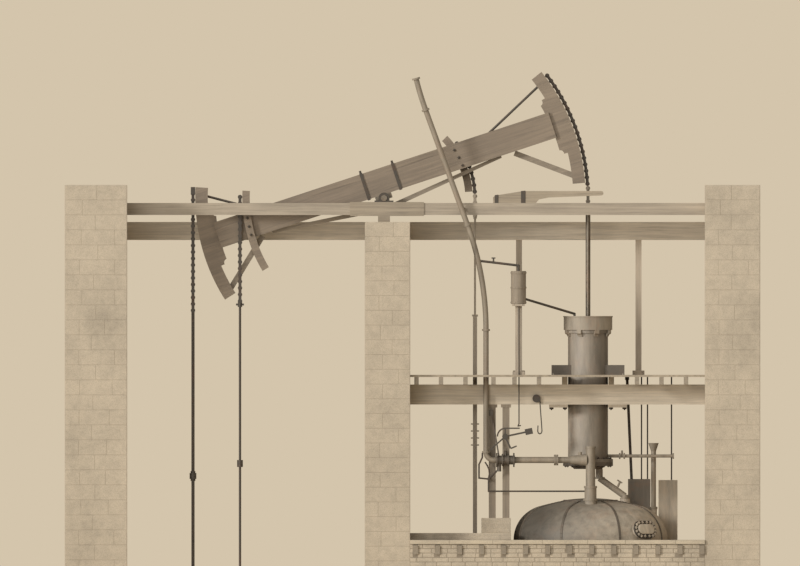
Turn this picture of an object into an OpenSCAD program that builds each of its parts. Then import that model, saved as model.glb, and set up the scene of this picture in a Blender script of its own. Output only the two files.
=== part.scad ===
// House-built atmospheric beam engine: boiler, cylinder, rocking beam with arch heads,
// chains, rods, valve gear, and the timbers and walls that carry them.
// Millimetres. X runs along the beam towards the cylinder, Y to the back, Z up.
// The origin is at ground level under the beam's pivot.

/* [Masonry] */
// Depth of the walls and the boiler setting, front to back
wall_depth = 3600; // [3500:50:4200]
// Thickness of the lever wall under the pivot
lever_wall_t = 900; // [860:10:1000]
// Lever wall's steam-side face, from the pivot
lever_face_x = 520; // [500:5:540]
// Pump-side end wall's inner face, from the pivot
pump_face_x = 5140; // [5000:20:5400]
// Thickness of the pump-side end wall
pump_wall_t = 1240; // [1000:20:1400]
// Steam-side end wall's inner face, from the pivot
steam_face_x = 6420; // [6300:20:6600]
// Thickness of the steam-side end wall
steam_wall_t = 1100; // [900:20:1300]
// Height of both end walls
end_wall_h = 8700; // [8500:20:9200]
// Height of the boiler setting
setting_h = 1600; // [1500:20:1700]
// Width of the doorway through the lever wall
door_w = 1000; // [800:20:1200]
// Height of the doorway through the lever wall
door_h = 1900; // [1800:20:2000]

/* [Great beam] */
// Height of the pivot above ground
pivot_z = 8440; // [8420:5:8500]
// Slope of the beam at rest, steam end up
beam_tilt = 18.2; // [17.5:0.1:19]
// Height of the beam's timber
beam_h = 530; // [480:10:580]
// Thickness of the beam's timber
beam_w = 520; // [480:10:540]
// Pivot to the underside of the beam
beam_seat = 68; // [64:1:80]
// Thickness of both large arch heads
arch_w = 400; // [300:10:480]
// Radial depth of an arch head at the beam
arch_deep = 400; // [380:5:420]
// Radial depth of an arch head near its ends
arch_slim = 250; // [220:5:280]
// Thickness of both small arches
side_arch_w = 100; // [80:5:110]
// Radial depth of both small arches
side_arch_deep = 150; // [120:5:180]
// Radius of the iron gudgeon
gudgeon_r = 60; // [50:1:64]

/* [Reaches] */
// Pivot to the centre of the steam chain and cylinder
steam_arm = 4080; // [4060:5:4100]
// Pivot to the centre of the main pump chain
pump_arm = 3820; // [3780:10:3860]
// Pivot to the centre of the jack pump chain
jack_arm = 2880; // [2840:10:2920]
// Pivot to the centre of the plug rod chain
plug_arm = 1820; // [1810:2:1830]

/* [Chains and rods] */
// Distance between the pins of a chain
chain_pitch = 130; // [120:2:140]
// Height of a chain link
link_h = 90; // [80:2:96]
// Thickness of one link plate
link_t = 16; // [12:1:20]
// Radius of the piston rod
piston_rod_r = 48; // [40:1:54]
// Radius of the pump rods
pump_rod_r = 32; // [26:1:38]
// Width of the plug rod
plug_rod_w = 84; // [70:2:90]

/* [Timbers] */
// Height of the spring beams
spring_h = 240; // [200:5:260]
// Thickness of the spring beams
spring_w = 200; // [180:5:220]
// Clear way between beam and spring beam
spring_way = 160; // [150:5:180]
// Height of the cylinder beams
cyl_beam_h = 400; // [360:10:420]
// Thickness of the cylinder beams
cyl_beam_w = 270; // [240:5:280]
// Clear way between cylinder and cylinder beam
cyl_beam_way = 30; // [20:2:40]
// Underside of the cylinder beams above ground
cyl_beam_z = 4310; // [4260:10:4360]
// Height of the loft beams
loft_beam_h = 360; // [300:10:400]
// Height of the floor joists
joist_h = 150; // [120:5:180]
// Width of the floor joists
joist_w = 90; // [70:2:94]
// Thickness of the floor boards
board_t = 40; // [30:2:60]
// Depth of the working floor each side of the beam's line
floor_reach = 1500; // [1450:10:1600]

/* [Cylinder] */
// Radius of the cylinder's bore
bore_r = 360; // [350:2:364]
// Wall of the cylinder
cyl_wall = 40; // [30:1:42]
// Length of the cylinder's bore
bore_l = 2640; // [2580:10:2680]
// Underside of the cylinder's bore above ground
bore_z = 3160; // [3140:5:3180]
// Thickness of the piston
piston_h = 150; // [120:5:160]
// Radius of the water cup on the cylinder
cup_r = 486; // [476:2:500]
// Height of the water cup
cup_h = 240; // [200:10:300]

/* [Boiler] */
// Radius of the boiler
boiler_r = 1540; // [1500:10:1550]
// Height of the dome above its setting
dome_h = 820; // [760:10:860]
// Radius of the dome's shoulder
shoulder_r = 700; // [660:10:720]
// Number of plates round the dome
dome_plates = 8; // [8:4:16]

/* [Pipes] */
// Radius of the injection pipe
inj_r = 54; // [44:1:58]
// Radius of the steam pipe
steam_pipe_r = 95; // [80:1:105]
// Radius of the pipe from valve chest to cylinder
feed_r = 62; // [50:1:70]
// Front plane of the pipes, from the beam's line
pipe_y = 780; // [770:2:800]

/* [Hidden] */
$fn = 48;

// Gap between pieces that meet but stay loose
seat = 0.3;
// Depth to which timbers run into the walls
pocket_l = 300;
// Room round a timber in its pocket
pocket_gap = 6;

spring_y = beam_w / 2 + spring_way;
spring_top = pivot_z - 100;
sill_z = spring_top - spring_h - 140;
cyl_out = bore_r + cyl_wall;
inj_x = 2040;
cyl_beam_y = cyl_out + cyl_beam_way;
joist_z = cyl_beam_z + cyl_beam_h;
floor_z = joist_z + joist_h + board_t;
cyl_top = bore_z + bore_l;
link_gap = link_h / 2 + seat;
steam_rim = steam_arm - link_gap;
pump_rim = pump_arm - link_gap;
jack_rim = jack_arm - link_gap;
plug_rim = plug_arm - link_gap;
side_arch_y = beam_w / 2;
chain_y = side_arch_y + side_arch_w / 2 + 10;
leave_a = 4;

// Polar ends of the arches, measured from the beam's line
steam_arch_a = [-13.9, 20.5];
pump_arch_a = [-14.4, 21.5];
plug_arch_a = [-14.0, 19.8];
jack_arch_a = [-12.8, 21.2];

beam_left = pump_rim - arch_deep + 20;
beam_right = steam_rim - arch_deep + 20;

wood = [0.62, 0.53, 0.40];
pale_wood = [0.70, 0.61, 0.47];
iron = [0.27, 0.25, 0.23];
lead_grey = [0.45, 0.42, 0.38];
stone = [0.72, 0.62, 0.48];
brick = [0.68, 0.55, 0.42];

module block(x, y, z) {
  translate([x[0], y[0], z[0]]) cube([x[1] - x[0], y[1] - y[0], z[1] - z[0]]);
}

// An X-Z outline made as thick as the span of Y
module plate(y) {
  translate([0, y[1], 0]) rotate([90, 0, 0]) linear_extrude(y[1] - y[0]) children();
}

module both_sides() {
  children();
  mirror([0, 1, 0]) children();
}

// A round bar between two points
module rod(p, q, r) {
  d = q - p;
  l = norm(d);
  translate(p) rotate([0, acos(d[2] / l), atan2(d[1], d[0])]) cylinder(h = l, r = r);
}

// A bent rod: straight lengths with a ball at each bend
module wire(p, r) {
  for (i = [1 : len(p) - 1]) rod(p[i - 1], p[i], r);
  if (len(p) > 2) for (i = [1 : len(p) - 2]) translate(p[i]) sphere(r = r * 1.06);
}

// A straight bar between two X-Z points, centred on its line
module bar(p, q, h, y) {
  d = q - p;
  plate(y) translate(p) rotate(atan2(d[1], d[0])) translate([0, -h / 2]) square([norm(d), h]);
}

// Everything that rocks with the beam is drawn level and tilted here
module tilted() {
  translate([0, 0, pivot_z]) rotate([0, -beam_tilt, 0]) children();
}

module ring_x(x, r_out) {
  translate([x[0], 0, 0]) rotate([0, 90, 0]) cylinder(h = x[1] - x[0], r = r_out);
}

// Masonry

module timber_pocket(x, y, z) {
  block([x[0] - pocket_gap, x[1] + pocket_gap], [y[0] - pocket_gap, y[1] + pocket_gap],
    [z[0], z[1] + pocket_gap]);
}

module spring_pockets(x) {
  both_sides() timber_pocket(x, [spring_y, spring_y + spring_w], [spring_top - spring_h, spring_top]);
}

module cylinder_beam_pockets(x) {
  both_sides() timber_pocket(x, [cyl_beam_y, cyl_beam_y + cyl_beam_w], [cyl_beam_z, joist_z]);
}

loft_y = [1000, 1240];
loft_z = [sill_z - loft_beam_h, sill_z];

module lever_wall() {
  x = [lever_face_x - lever_wall_t, lever_face_x];
  color(stone) difference() {
    block(x, [-wall_depth / 2, wall_depth / 2], [0, sill_z]);
    block([x[0] - 1, x[1] + 1], [-door_w / 2, door_w / 2], [floor_z, floor_z + door_h]);
    cylinder_beam_pockets([x[1] - pocket_l, x[1]]);
    block([x[1] - pocket_l, x[1] + 1], loft_y, [loft_z[0], loft_z[1] + 1]);
    block([x[0] - 1, x[0] + pocket_l], loft_y, [loft_z[0], loft_z[1] + 1]);
  }
}

module pump_end_wall() {
  face = -pump_face_x;
  color(stone) difference() {
    block([face - pump_wall_t, face], [-wall_depth / 2, wall_depth / 2], [0, end_wall_h]);
    spring_pockets([face - pocket_l, face]);
    timber_pocket([face - pocket_l, face], loft_y, loft_z);
  }
}

module steam_end_wall() {
  face = steam_face_x;
  color(stone) difference() {
    block([face, face + steam_wall_t], [-wall_depth / 2, wall_depth / 2], [0, end_wall_h]);
    spring_pockets([face, face + pocket_l]);
    cylinder_beam_pockets([face, face + pocket_l]);
    timber_pocket([face, face + pocket_l], loft_y, loft_z);
  }
}

coping_h = 84;
coping_out = 40;
setting_joists = 14;
setting_joist_x = 583;
setting_joist_step = 441;
setting_joist_w = 96;
setting_joist_z = 110;
setting_joist_h = 180;
fire_w = 620;
fire_h = 560;
fire_z = 420;
plug_pit_z = 500;

module fire_mouth() {
  y = [-wall_depth / 2 - 1, -wall_depth / 2 + 300];
  spring = fire_z + fire_h - fire_w / 2;
  block([steam_arm - fire_w / 2, steam_arm + fire_w / 2], y, [fire_z, spring]);
  translate([steam_arm, y[1], spring]) rotate([90, 0, 0]) cylinder(h = y[1] - y[0], r = fire_w / 2);
}

module boiler_setting() {
  x = [lever_face_x, steam_face_x];
  front = -wall_depth / 2;
  hole = plug_rod_w / 2 + 20;
  color(brick) difference() {
    union() {
      block(x, [front, -front], [0, setting_h]);
      block(x, [front - coping_out, -front + coping_out], [setting_h - coping_h, setting_h]);
      for (i = [0 : setting_joists - 1])
        translate([setting_joist_x + i * setting_joist_step, front - coping_out,
          setting_h - setting_joist_z - setting_joist_h])
          cube([setting_joist_w, coping_out + 1, setting_joist_h]);
    }
    fire_mouth();
    block([plug_arm - hole, plug_arm + hole], [chain_y - hole, chain_y + hole],
      [plug_pit_z, setting_h + 1]);
  }
}

platform_h = 140;
platform_x = [lever_face_x, 2540];
pedestal_h = 300;
pedestal_y = [450, 690];
post_x = [[2095, 2235], [2370, 2510]];
post_y = [490, 650];

module gear_platform() {
  hole = plug_rod_w / 2 + 20;
  z = setting_h + platform_h;
  color(brick) difference() {
    union() {
      block(platform_x, [-1000, 1000], [setting_h, z]);
      both_sides() block([post_x[0][0] - 145, post_x[1][1] + 20], pedestal_y, [z - 1, z + pedestal_h]);
    }
    block([plug_arm - hole, plug_arm + hole], [chain_y - hole, chain_y + hole], [setting_h - 1, z + 1]);
  }
}

// Timbers that carry the beam and the cylinder

bearing_x = [-680, 800];

module spring_beams_pump() {
  color(wood) both_sides()
    block([-pump_face_x - pocket_l, bearing_x[0]], [spring_y, spring_y + spring_w],
      [spring_top - spring_h, spring_top]);
}

module spring_beams_steam() {
  color(wood) both_sides()
    block([bearing_x[1], steam_face_x + pocket_l], [spring_y, spring_y + spring_w],
      [spring_top - spring_h, spring_top]);
}

module bearing_blocks() {
  y = [spring_y - 20, spring_y + spring_w + 20];
  color(pale_wood) both_sides() {
    block(bearing_x, y, [spring_top - spring_h - 20, spring_top + 20]);
    block([-120, 120], y, [sill_z, spring_top - spring_h]);
  }
}

plummer_y = [spring_y + 20, spring_y + spring_w - 20];
cap_r = 110;

module plummer_blocks() {
  base_z = spring_top + 20;
  color(iron) both_sides() difference() {
    union() {
      block([-190, 190], plummer_y, [base_z, base_z + 30]);
      block([-cap_r, cap_r], plummer_y, [base_z, pivot_z]);
      plate(plummer_y) intersection() {
        translate([0, pivot_z]) circle(r = cap_r);
        translate([-cap_r, base_z]) square(2 * cap_r);
      }
    }
    translate([0, plummer_y[1] + 1, pivot_z]) rotate([90, 0, 0])
      cylinder(h = plummer_y[1] - plummer_y[0] + 2, r = gudgeon_r + seat);
  }
}

catch_x = [2180, 4390];
catch_root = 860;
catch_tip = 90;

// A long springy plank with a notched butt, laid on each spring beam
module catch_springs() {
  z = spring_top;
  l = catch_x[1] - catch_x[0];
  y = [spring_y + 20, spring_y + spring_w - 20];
  color(pale_wood) both_sides() {
    plate(y) translate([catch_x[0], z]) union() {
      polygon([[0, 0], [catch_root, 0], [catch_root + 60, 70], [catch_root + 260, 110], [l - 45, 150],
        [l - 45, 150 + catch_tip], [catch_root - 250, 150 + catch_tip], [40, 150], [0, 110]]);
      translate([l - 45, 150 + catch_tip / 2]) circle(r = catch_tip / 2);
    }
  }
}

module loft_beam_pump() {
  color(pale_wood) block([-pump_face_x - pocket_l, lever_face_x - lever_wall_t + pocket_l], loft_y, loft_z);
}

module loft_beam_steam() {
  color(pale_wood) block([lever_face_x - pocket_l, steam_face_x + pocket_l], loft_y, loft_z);
}

post_w = 120;
loft_post_x = [2700, 5090];

module loft_posts() {
  y = [loft_y[0] + 60, loft_y[0] + 60 + post_w];
  color(pale_wood) for (x = loft_post_x) {
    block([x - post_w / 2, x + post_w / 2], y, [floor_z, loft_z[0]]);
    block([x - post_w, x + post_w], [y[0] - 40, y[1] + 40], [floor_z, floor_z + 90]);
  }
}

module cylinder_beam() {
  block([lever_face_x - pocket_l, steam_face_x + pocket_l], [cyl_beam_y, cyl_beam_y + cyl_beam_w],
    [cyl_beam_z, joist_z]);
}

module cylinder_beam_back() {
  color(wood) cylinder_beam();
}

module cylinder_beam_front() {
  color(wood) mirror([0, 1, 0]) cylinder_beam();
}

bearer_in = cyl_out + seat;
bearer_w = 110;

module cylinder_bearers() {
  reach = cyl_beam_y + cyl_beam_w;
  color(pale_wood) for (s = [-1, 1]) {
    x = steam_arm + s * (bearer_in + bearer_w / 2 + 10);
    block([x - bearer_w / 2, x + bearer_w / 2], [-reach, reach], [joist_z, joist_z + joist_h]);
  }
}

lug_l = 330;
lug_h = 240;
lug_flange = 46;

// Iron lugs cast on the cylinder's sides, splayed out to a flange that sits on the bearers
module cylinder_lugs() {
  z = joist_z + joist_h;
  color(iron) difference() {
    for (s = [0, 1]) translate([steam_arm, 0, 0]) mirror([s, 0, 0]) {
      block([0, cyl_out + lug_l], [-230, 230], [z, z + lug_flange]);
      for (y = [-200, 0, 200])
        plate([y - 20, y + 20]) polygon([[0, z + lug_flange - 1],
          [cyl_out + lug_l - 40, z + lug_flange - 1],
          [cyl_out + lug_l, z + lug_h], [0, z + lug_h]]);
      block([cyl_out + lug_l - 30, cyl_out + lug_l], [-230, 230], [z, z + lug_h]);
    }
    translate([steam_arm, 0, z - 1]) cylinder(h = lug_h + 2, r = cyl_out + seat);
  }
}

module hold_down_plates() {
  reach = cyl_beam_y + cyl_beam_w;
  color(iron) for (s = [-1, 1]) {
    a = steam_arm + s * (cyl_out + seat);
    b = a + s * 380;
    block([min(a, b), max(a, b)], [-reach, reach], [cyl_beam_z - 60, cyl_beam_z]);
  }
}

joist_pitch = 490;
joist_x = [lever_face_x + 130, lever_face_x + 620, plug_arm - 190, inj_x + 150, steam_arm - 3 * joist_pitch,
  steam_arm - 2 * joist_pitch, steam_arm + 2 * joist_pitch, steam_arm + 3 * joist_pitch,
  steam_arm + 4 * joist_pitch];

module floor_joists() {
  color(wood) for (x = joist_x)
    block([x - joist_w / 2, x + joist_w / 2], [-floor_reach, floor_reach], [joist_z, joist_z + joist_h]);
}

well_x = [steam_arm - 780, steam_arm + 780];
well_y = 560;

module floor_boards() {
  z = joist_z + joist_h;
  room = 30;
  color(pale_wood) difference() {
    block([lever_face_x, steam_face_x], [-floor_reach, floor_reach], [z, floor_z]);
    block(well_x, [-well_y, well_y], [z - 1, floor_z + 1]);
    translate([inj_x, -pipe_y, z - 1]) cylinder(h = board_t + 2, r = inj_r + room);
    block([plug_arm - 60 - room, plug_arm + 60 + room], [chain_y - 60 - room, chain_y + 60 + room],
      [z - 1, floor_z + 1]);
    translate([cord_x, -cord_y, z - 1]) cylinder(h = board_t + 2, r = room);
  }
}

module gear_posts() {
  z = setting_h + platform_h + pedestal_h;
  head = 60;
  color(pale_wood) both_sides() difference() {
    for (x = post_x) {
      block(x, post_y, [z, cyl_beam_z - head]);
      block([x[0] - 30, x[1] + 30], [post_y[0] - 20, post_y[1] + 20], [cyl_beam_z - head, cyl_beam_z]);
    }
    translate([bob_x, post_y[1] + 1, bob_z]) rotate([90, 0, 0])
      cylinder(h = post_y[1] - post_y[0] + 2, r = arbor_r + seat);
  }
}

// Cylinder

flange_out = 100;
flange_h = 60;

module steam_cylinder() {
  color(lead_grey) translate([steam_arm, 0, 0]) difference() {
    union() {
      translate([0, 0, bore_z]) cylinder(h = bore_l, r = cyl_out, $fn = 96);
      translate([0, 0, bore_z]) cylinder(h = flange_h, r = cyl_out + flange_out, $fn = 96);
      translate([0, 0, cyl_top - flange_h]) cylinder(h = flange_h, r = cyl_out + 40, $fn = 96);
    }
    translate([0, 0, bore_z - 1]) cylinder(h = bore_l + 2, r = bore_r, $fn = 96);
  }
}

bottom_h = 80;

module cylinder_bottom() {
  color(iron) translate([steam_arm, 0, bore_z - bottom_h]) {
    cylinder(h = bottom_h, r = cyl_out + flange_out, $fn = 96);
    translate([0, 0, -60]) cylinder(h = 61, r1 = cyl_out - 120, r2 = cyl_out - 60);
  }
}

cup_wall = 20;
cup_floor = 40;
clamps = 8;
clamp_h = 130;
clamp_w = 90;

// A hooked clamp that grips the cylinder's top flange under the cup, scooped out below
module clamp_outline() {
  under = flange_h + seat;
  difference() {
    polygon([[cyl_out + 41, 0], [cup_r - 4, 0], [cup_r - 4, -under], [cyl_out + 50, -clamp_h],
      [cyl_out + 8, -clamp_h],
      [cyl_out + 8, -under], [cyl_out + 41, -under]]);
    translate([cup_r - 4, -clamp_h]) circle(r = 52);
  }
}

// Lead-lined cup that keeps water on the piston, on a ring of curved clamps
module cylinder_cup() {
  color(lead_grey) translate([steam_arm, 0, cyl_top]) {
    rotate_extrude($fn = 96) union() {
      translate([bore_r, 0]) square([cup_r - bore_r, cup_floor]);
      translate([cup_r - cup_wall, 0]) square([cup_wall, cup_h + cup_floor]);
      translate([cup_r - cup_wall - 10, cup_h + cup_floor - 24]) square([cup_wall + 20, 24]);
    }
    for (i = [0 : clamps - 1]) rotate((i + 0.5) * 360 / clamps) plate([-clamp_w / 2, clamp_w / 2])
      clamp_outline();
  }
}

// Boiler

dome_k = (pow(boiler_r - shoulder_r, 2) - pow(dome_h - shoulder_r, 2)) / (2 * (dome_h - shoulder_r));

shoulder_step = 5;

function shoulder_points(r) = concat([[boiler_r - shoulder_r, 0]],
  [for (a = [0 : shoulder_step : 90]) [boiler_r - shoulder_r + r * cos(a), r * sin(a)]]);

// Half section of the three-centred dome: a wide crown arc that runs into a tight shoulder
module dome_outline(grow) {
  crown = dome_h + dome_k + grow;
  far = 3;
  intersection() {
    union() {
      intersection() {
        translate([0, -dome_k]) circle(r = crown, $fn = 360);
        polygon([[0, -dome_k], [far * (boiler_r - shoulder_r), (far - 1) * dome_k],
          [0, (far - 1) * dome_k]]);
      }
      polygon(shoulder_points(shoulder_r + grow));
      polygon([[0, 0], [boiler_r - shoulder_r, 0], [boiler_r - shoulder_r, shoulder_r], [0, dome_h - 60]]);
    }
    square([boiler_r + grow, dome_h + grow]);
  }
}

boiler_x = steam_arm + 50;
boss_r = 120;
boss_top = 2385;
stand_boss_r = 70;

// The dome, with a flat-topped boss cast under each pipe and the manhole
module boiler() {
  color(lead_grey) {
    translate([boiler_x, 0, setting_h]) rotate_extrude($fn = 96) dome_outline(0);
    translate([boiler_x, -pipe_y, setting_h + 100]) cylinder(h = boss_top - setting_h - 100, r = boss_r);
    translate([eduction_foot, 0, setting_h + 100])
      cylinder(h = boss_top + 30 - setting_h - 100, r = boss_r - 20);
    translate([stand_x, stand_y, setting_h + 100])
      cylinder(h = stand_foot - setting_h - 100, r = stand_boss_r);
    translate(manhole_at) rotate(manhole_turn) translate([0, 0, -120]) oval(160, manhole_r - 30);
  }
}

manhole_r = 178;
manhole_long = 120;
stand_foot = 2215;

// An upright-ended slab that is longer across than up
module oval(h, r) {
  linear_extrude(h) hull() for (s = [-1, 1]) translate([0, s * manhole_long]) circle(r = r);
}

strap_w = 46;
strap_t = 12;
crown_r = 560;

// Straps riveted over the seams between the plates, and a crown plate
module boiler_straps() {
  color(iron) translate([boiler_x, 0, setting_h]) {
    for (i = [0 : dome_plates - 1]) rotate((i + 0.5) * 360 / dome_plates)
      plate([-strap_w / 2, strap_w / 2]) difference() {
        dome_outline(strap_t);
        dome_outline(0);
        square([crown_r / 2, 2 * dome_h]);
      }
    rotate_extrude($fn = 96) intersection() {
      difference() {
        dome_outline(strap_t + 4);
        dome_outline(0);
      }
      square([crown_r, 2 * dome_h]);
    }
  }
}

manhole_dir = -46;
manhole_up = 16;
manhole_at = [boiler_x + (boiler_r - shoulder_r + shoulder_r * cos(manhole_up)) * cos(manhole_dir),
  (boiler_r - shoulder_r + shoulder_r * cos(manhole_up)) * sin(manhole_dir),
  setting_h + shoulder_r * sin(manhole_up)];
manhole_turn = [0, 90 - manhole_up, manhole_dir];

// Bolted manhole ring and lid on the boiler's shoulder
module manhole() {
  color(iron) translate(manhole_at) rotate(manhole_turn) translate([0, 0, 40]) {
    oval(36, manhole_r);
    translate([0, 0, 35]) oval(24, manhole_r - 76);
    for (s = [-1, 1], a = [-75 : 30 : 75]) translate([0, s * manhole_long, 35]) rotate(s * 90 + a)
      translate([manhole_r - 36, 0, 0]) cylinder(h = 22, r = 15);
    for (x = [-1, 1], y = [-60, 60]) translate([x * (manhole_r - 36), y, 35]) cylinder(h = 22, r = 15);
  }
}

// Pipes

drum_top = 2640;
steam_pipe_top = 3440;
nozzle_z = 3200;
feed_x = [2620, 3720];

module steam_pipe() {
  color(lead_grey) difference() {
    union() {
      translate([boiler_x, -pipe_y, boss_top]) {
        cylinder(h = steam_pipe_top - boss_top, r = steam_pipe_r);
        cylinder(h = 40, r = boss_r + 24);
        cylinder(h = drum_top - boss_top, r = boss_r);
      }
      translate([boiler_x, -pipe_y, drum_top]) cylinder(h = 40, r = boss_r + 12);
      translate([boiler_x, -pipe_y, steam_pipe_top]) cylinder(h = 30, r = steam_pipe_r + 14);
      translate([boiler_x, 0, nozzle_z + 75]) rotate([90, 0, 0])
        cylinder(h = pipe_y, r = steam_pipe_r - 30);
    }
    translate([steam_arm, 0, bore_z - 1]) cylinder(h = 1000, r = cyl_out + seat, $fn = 96);
    translate([steam_arm, 0, bore_z - 200]) cylinder(h = 200 + flange_h + seat,
      r = cyl_out + flange_out + seat, $fn = 96);
  }
}

inj_bend_r = 6140;
inj_lean = 20;
inj_top_lean = 13.9;
inj_turn_z = 5800;
inj_straight = 2448;
elbow_r = 160;
inj_mid = [inj_x - inj_bend_r * (1 - cos(inj_lean)), inj_turn_z + inj_bend_r * sin(inj_lean)];
inj_high = [inj_mid[0] - inj_straight * sin(inj_lean), inj_mid[1] + inj_straight * cos(inj_lean)];
inj_turn_2 = [inj_high[0] + inj_bend_r * cos(inj_lean), inj_high[1] + inj_bend_r * sin(inj_lean)];
inj_end = [inj_turn_2[0] - inj_bend_r * cos(inj_top_lean), inj_turn_2[1] - inj_bend_r * sin(inj_top_lean)];

// A length of pipe bent in the X-Z plane
module bend(centre, r_bend, from, sweep, r) {
  translate([centre[0], 0, centre[1]]) rotate([90, 0, 0]) rotate([0, 0, from])
    rotate_extrude(angle = sweep, $fn = 96) translate([r_bend, 0]) circle(r = r, $fn = 32);
}

collar_t = 36;
collar_r = 26;

// A collar round a joint of the pipe, leaning with it
module collar(at, lean) {
  translate([at[0], 0, at[1]]) rotate([0, -lean, 0]) translate([0, 0, -collar_t / 2])
    cylinder(h = collar_t, r = inj_r + collar_r);
}

// Bent water pipe from the valve up past the beam, held by an arm on the spring beam
module injection_pipe() {
  up = [-sin(inj_lean), cos(inj_lean)] * (collar_t / 2 - 1);
  color(pale_wood) translate([0, -pipe_y, 0]) {
    ring_x_at([inj_x + elbow_r, chest_x[0]], nozzle_z, inj_r + 6);
    bend([inj_x + elbow_r, nozzle_z + elbow_r], elbow_r, 180, 90, inj_r);
    collar([inj_x, nozzle_z + elbow_r], 0);
    translate([inj_x, 0, nozzle_z + elbow_r + 10])
      cylinder(h = inj_turn_z - nozzle_z - elbow_r - 20, r = inj_r);
    collar([inj_x, inj_turn_z], 0);
    bend([inj_x - inj_bend_r, inj_turn_z], inj_bend_r, 0.1, inj_lean - 0.2, inj_r);
    collar(inj_mid, inj_lean);
    rod([inj_mid[0] + up[0], 0, inj_mid[1] + up[1]], [inj_high[0] - up[0], 0, inj_high[1] - up[1]], inj_r);
    collar(inj_high, inj_lean);
    bend(inj_turn_2, inj_bend_r, 180 + inj_top_lean, inj_lean - inj_top_lean - 0.1, inj_r);
    collar(inj_end, inj_top_lean);
    block([inj_x - 530, inj_x - 440], [0, pipe_y - spring_y - spring_w],
      [spring_top - 140, spring_top - 90]);
  }
}

module ring_x_at(x, z, r) {
  translate([0, 0, z]) ring_x(x, r);
}

chest_x = [2240, 2620];

latch_x = 2100;
latch_z = 4085;

// Injection valve: a stack of flanged rings with a square cock, and the long lever that works it
module valve_chest() {
  l = chest_x[1] - chest_x[0];
  color(iron) translate([0, -pipe_y, 0]) {
    ring_x_at(chest_x, nozzle_z, 90);
    for (f = [0, 0.3, 0.6, 0.9]) ring_x_at([chest_x[0] + f * l, chest_x[0] + f * l + 30], nozzle_z,
      f == 0.3 || f == 0.6 ? 120 : 140);
    translate([chest_x[0] + 0.5 * l, 0, nozzle_z + 60]) cylinder(h = 130, r = 26);
    translate([chest_x[0] + 0.16 * l, 0, nozzle_z - 230]) cylinder(h = 200, r = 44);
    block([latch_x, latch_x + 85], [pipe_y - post_y[1] - 70, pipe_y - post_y[1]], [latch_z, latch_z + 120]);
    rod([latch_x + 60, pipe_y - post_y[1] - 60, latch_z + 10], [chest_x[0] + 56, -20, nozzle_z + 85], 15);
  }
}

cone_x = boiler_x - 100;

module nozzle_pipe() {
  color(pale_wood) difference() {
    translate([0, -pipe_y, 0]) {
      ring_x_at(feed_x, nozzle_z, feed_r);
      ring_x_at([3400, 3440], nozzle_z, feed_r + 45);
      ring_x_at([3445, 3485], nozzle_z, feed_r + 45);
      ring_x_at([3439, 3446], nozzle_z, feed_r + 20);
      translate([feed_x[1] - 1, 0, nozzle_z]) rotate([0, 90, 0])
        cylinder(h = cone_x - feed_x[1] + 30, r1 = feed_r + 16, r2 = feed_r + 60);
      translate([cone_x - 110, 0, nozzle_z + 80]) cylinder(h = 80, r = 40);
    }
    translate([boiler_x, -pipe_y, nozzle_z - 400]) cylinder(h = 800, r = steam_pipe_r + seat);
  }
}

tank_x = 2690;
tank_r = 150;
tank_z = [6320, 6980];
tank_post_w = 130;

module seal_tank() {
  h = tank_z[1] - tank_z[0];
  color(pale_wood) translate([tank_x, -pipe_y, tank_z[0]]) {
    difference() {
      cylinder(h = h, r = tank_r);
      translate([0, 0, 40]) cylinder(h = h, r = tank_r - 25);
    }
    for (f = [0.02, 0.47, 0.92]) translate([0, 0, f * h]) difference() {
      cylinder(h = 34, r = tank_r + 10);
      translate([0, 0, -1]) cylinder(h = 36, r = tank_r - 1);
    }
  }
}

module seal_tank_post() {
  y = [-pipe_y - tank_post_w / 2, -pipe_y + tank_post_w / 2];
  color(pale_wood) {
    block([tank_x - tank_post_w / 2, tank_x + tank_post_w / 2], y, [floor_z, tank_z[0] - 40]);
    block([tank_x - 130, tank_x + 130], [-pipe_y - 170, -pipe_y + 130], [tank_z[0] - 41, tank_z[0]]);
    block([tank_x - 120, tank_x + 120], [-pipe_y - 120, -pipe_y + 120], [floor_z, floor_z + 70]);
  }
}

seal_r = 24;

// Small pipes: injection pipe to seal tank, and seal tank to cylinder cup
module seal_pipes() {
  in_z = 7180;
  in_x = inj_x - 105;
  out_z = tank_z[0] + 110;
  cup_top = cyl_top + cup_floor + cup_h;
  cup_x = steam_arm - 270;
  color(iron) difference() {
    union() {
      wire([[in_x, -pipe_y, in_z], [tank_x, -pipe_y, in_z - 90], [tank_x, -pipe_y, tank_z[1] - 300]],
        seal_r);
      rod([2190, -pipe_y, in_z - 50], [2190, -pipe_y, in_z + 70], 16);
      rod([2150, -pipe_y, in_z + 60], [2230, -pipe_y, in_z + 60], 12);
    }
    bend_cut();
  }
  color(iron) difference() {
    wire([[tank_x + 100, -pipe_y, out_z], [cup_x, -300, cup_top + 44], [cup_x, -300, cup_top - 90]],
      seal_r);
    translate([tank_x, -pipe_y, tank_z[0]]) cylinder(h = 800, r = tank_r + seal_gap);
  }
}

seal_gap = 0.2;

module bend_cut() {
  translate([0, -pipe_y, 0]) bend([inj_x - inj_bend_r, inj_turn_z], inj_bend_r, 0, inj_lean,
    inj_r + seal_gap);
}

eduction_x = 4366;
eduction_foot = boiler_x + 690;

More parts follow.
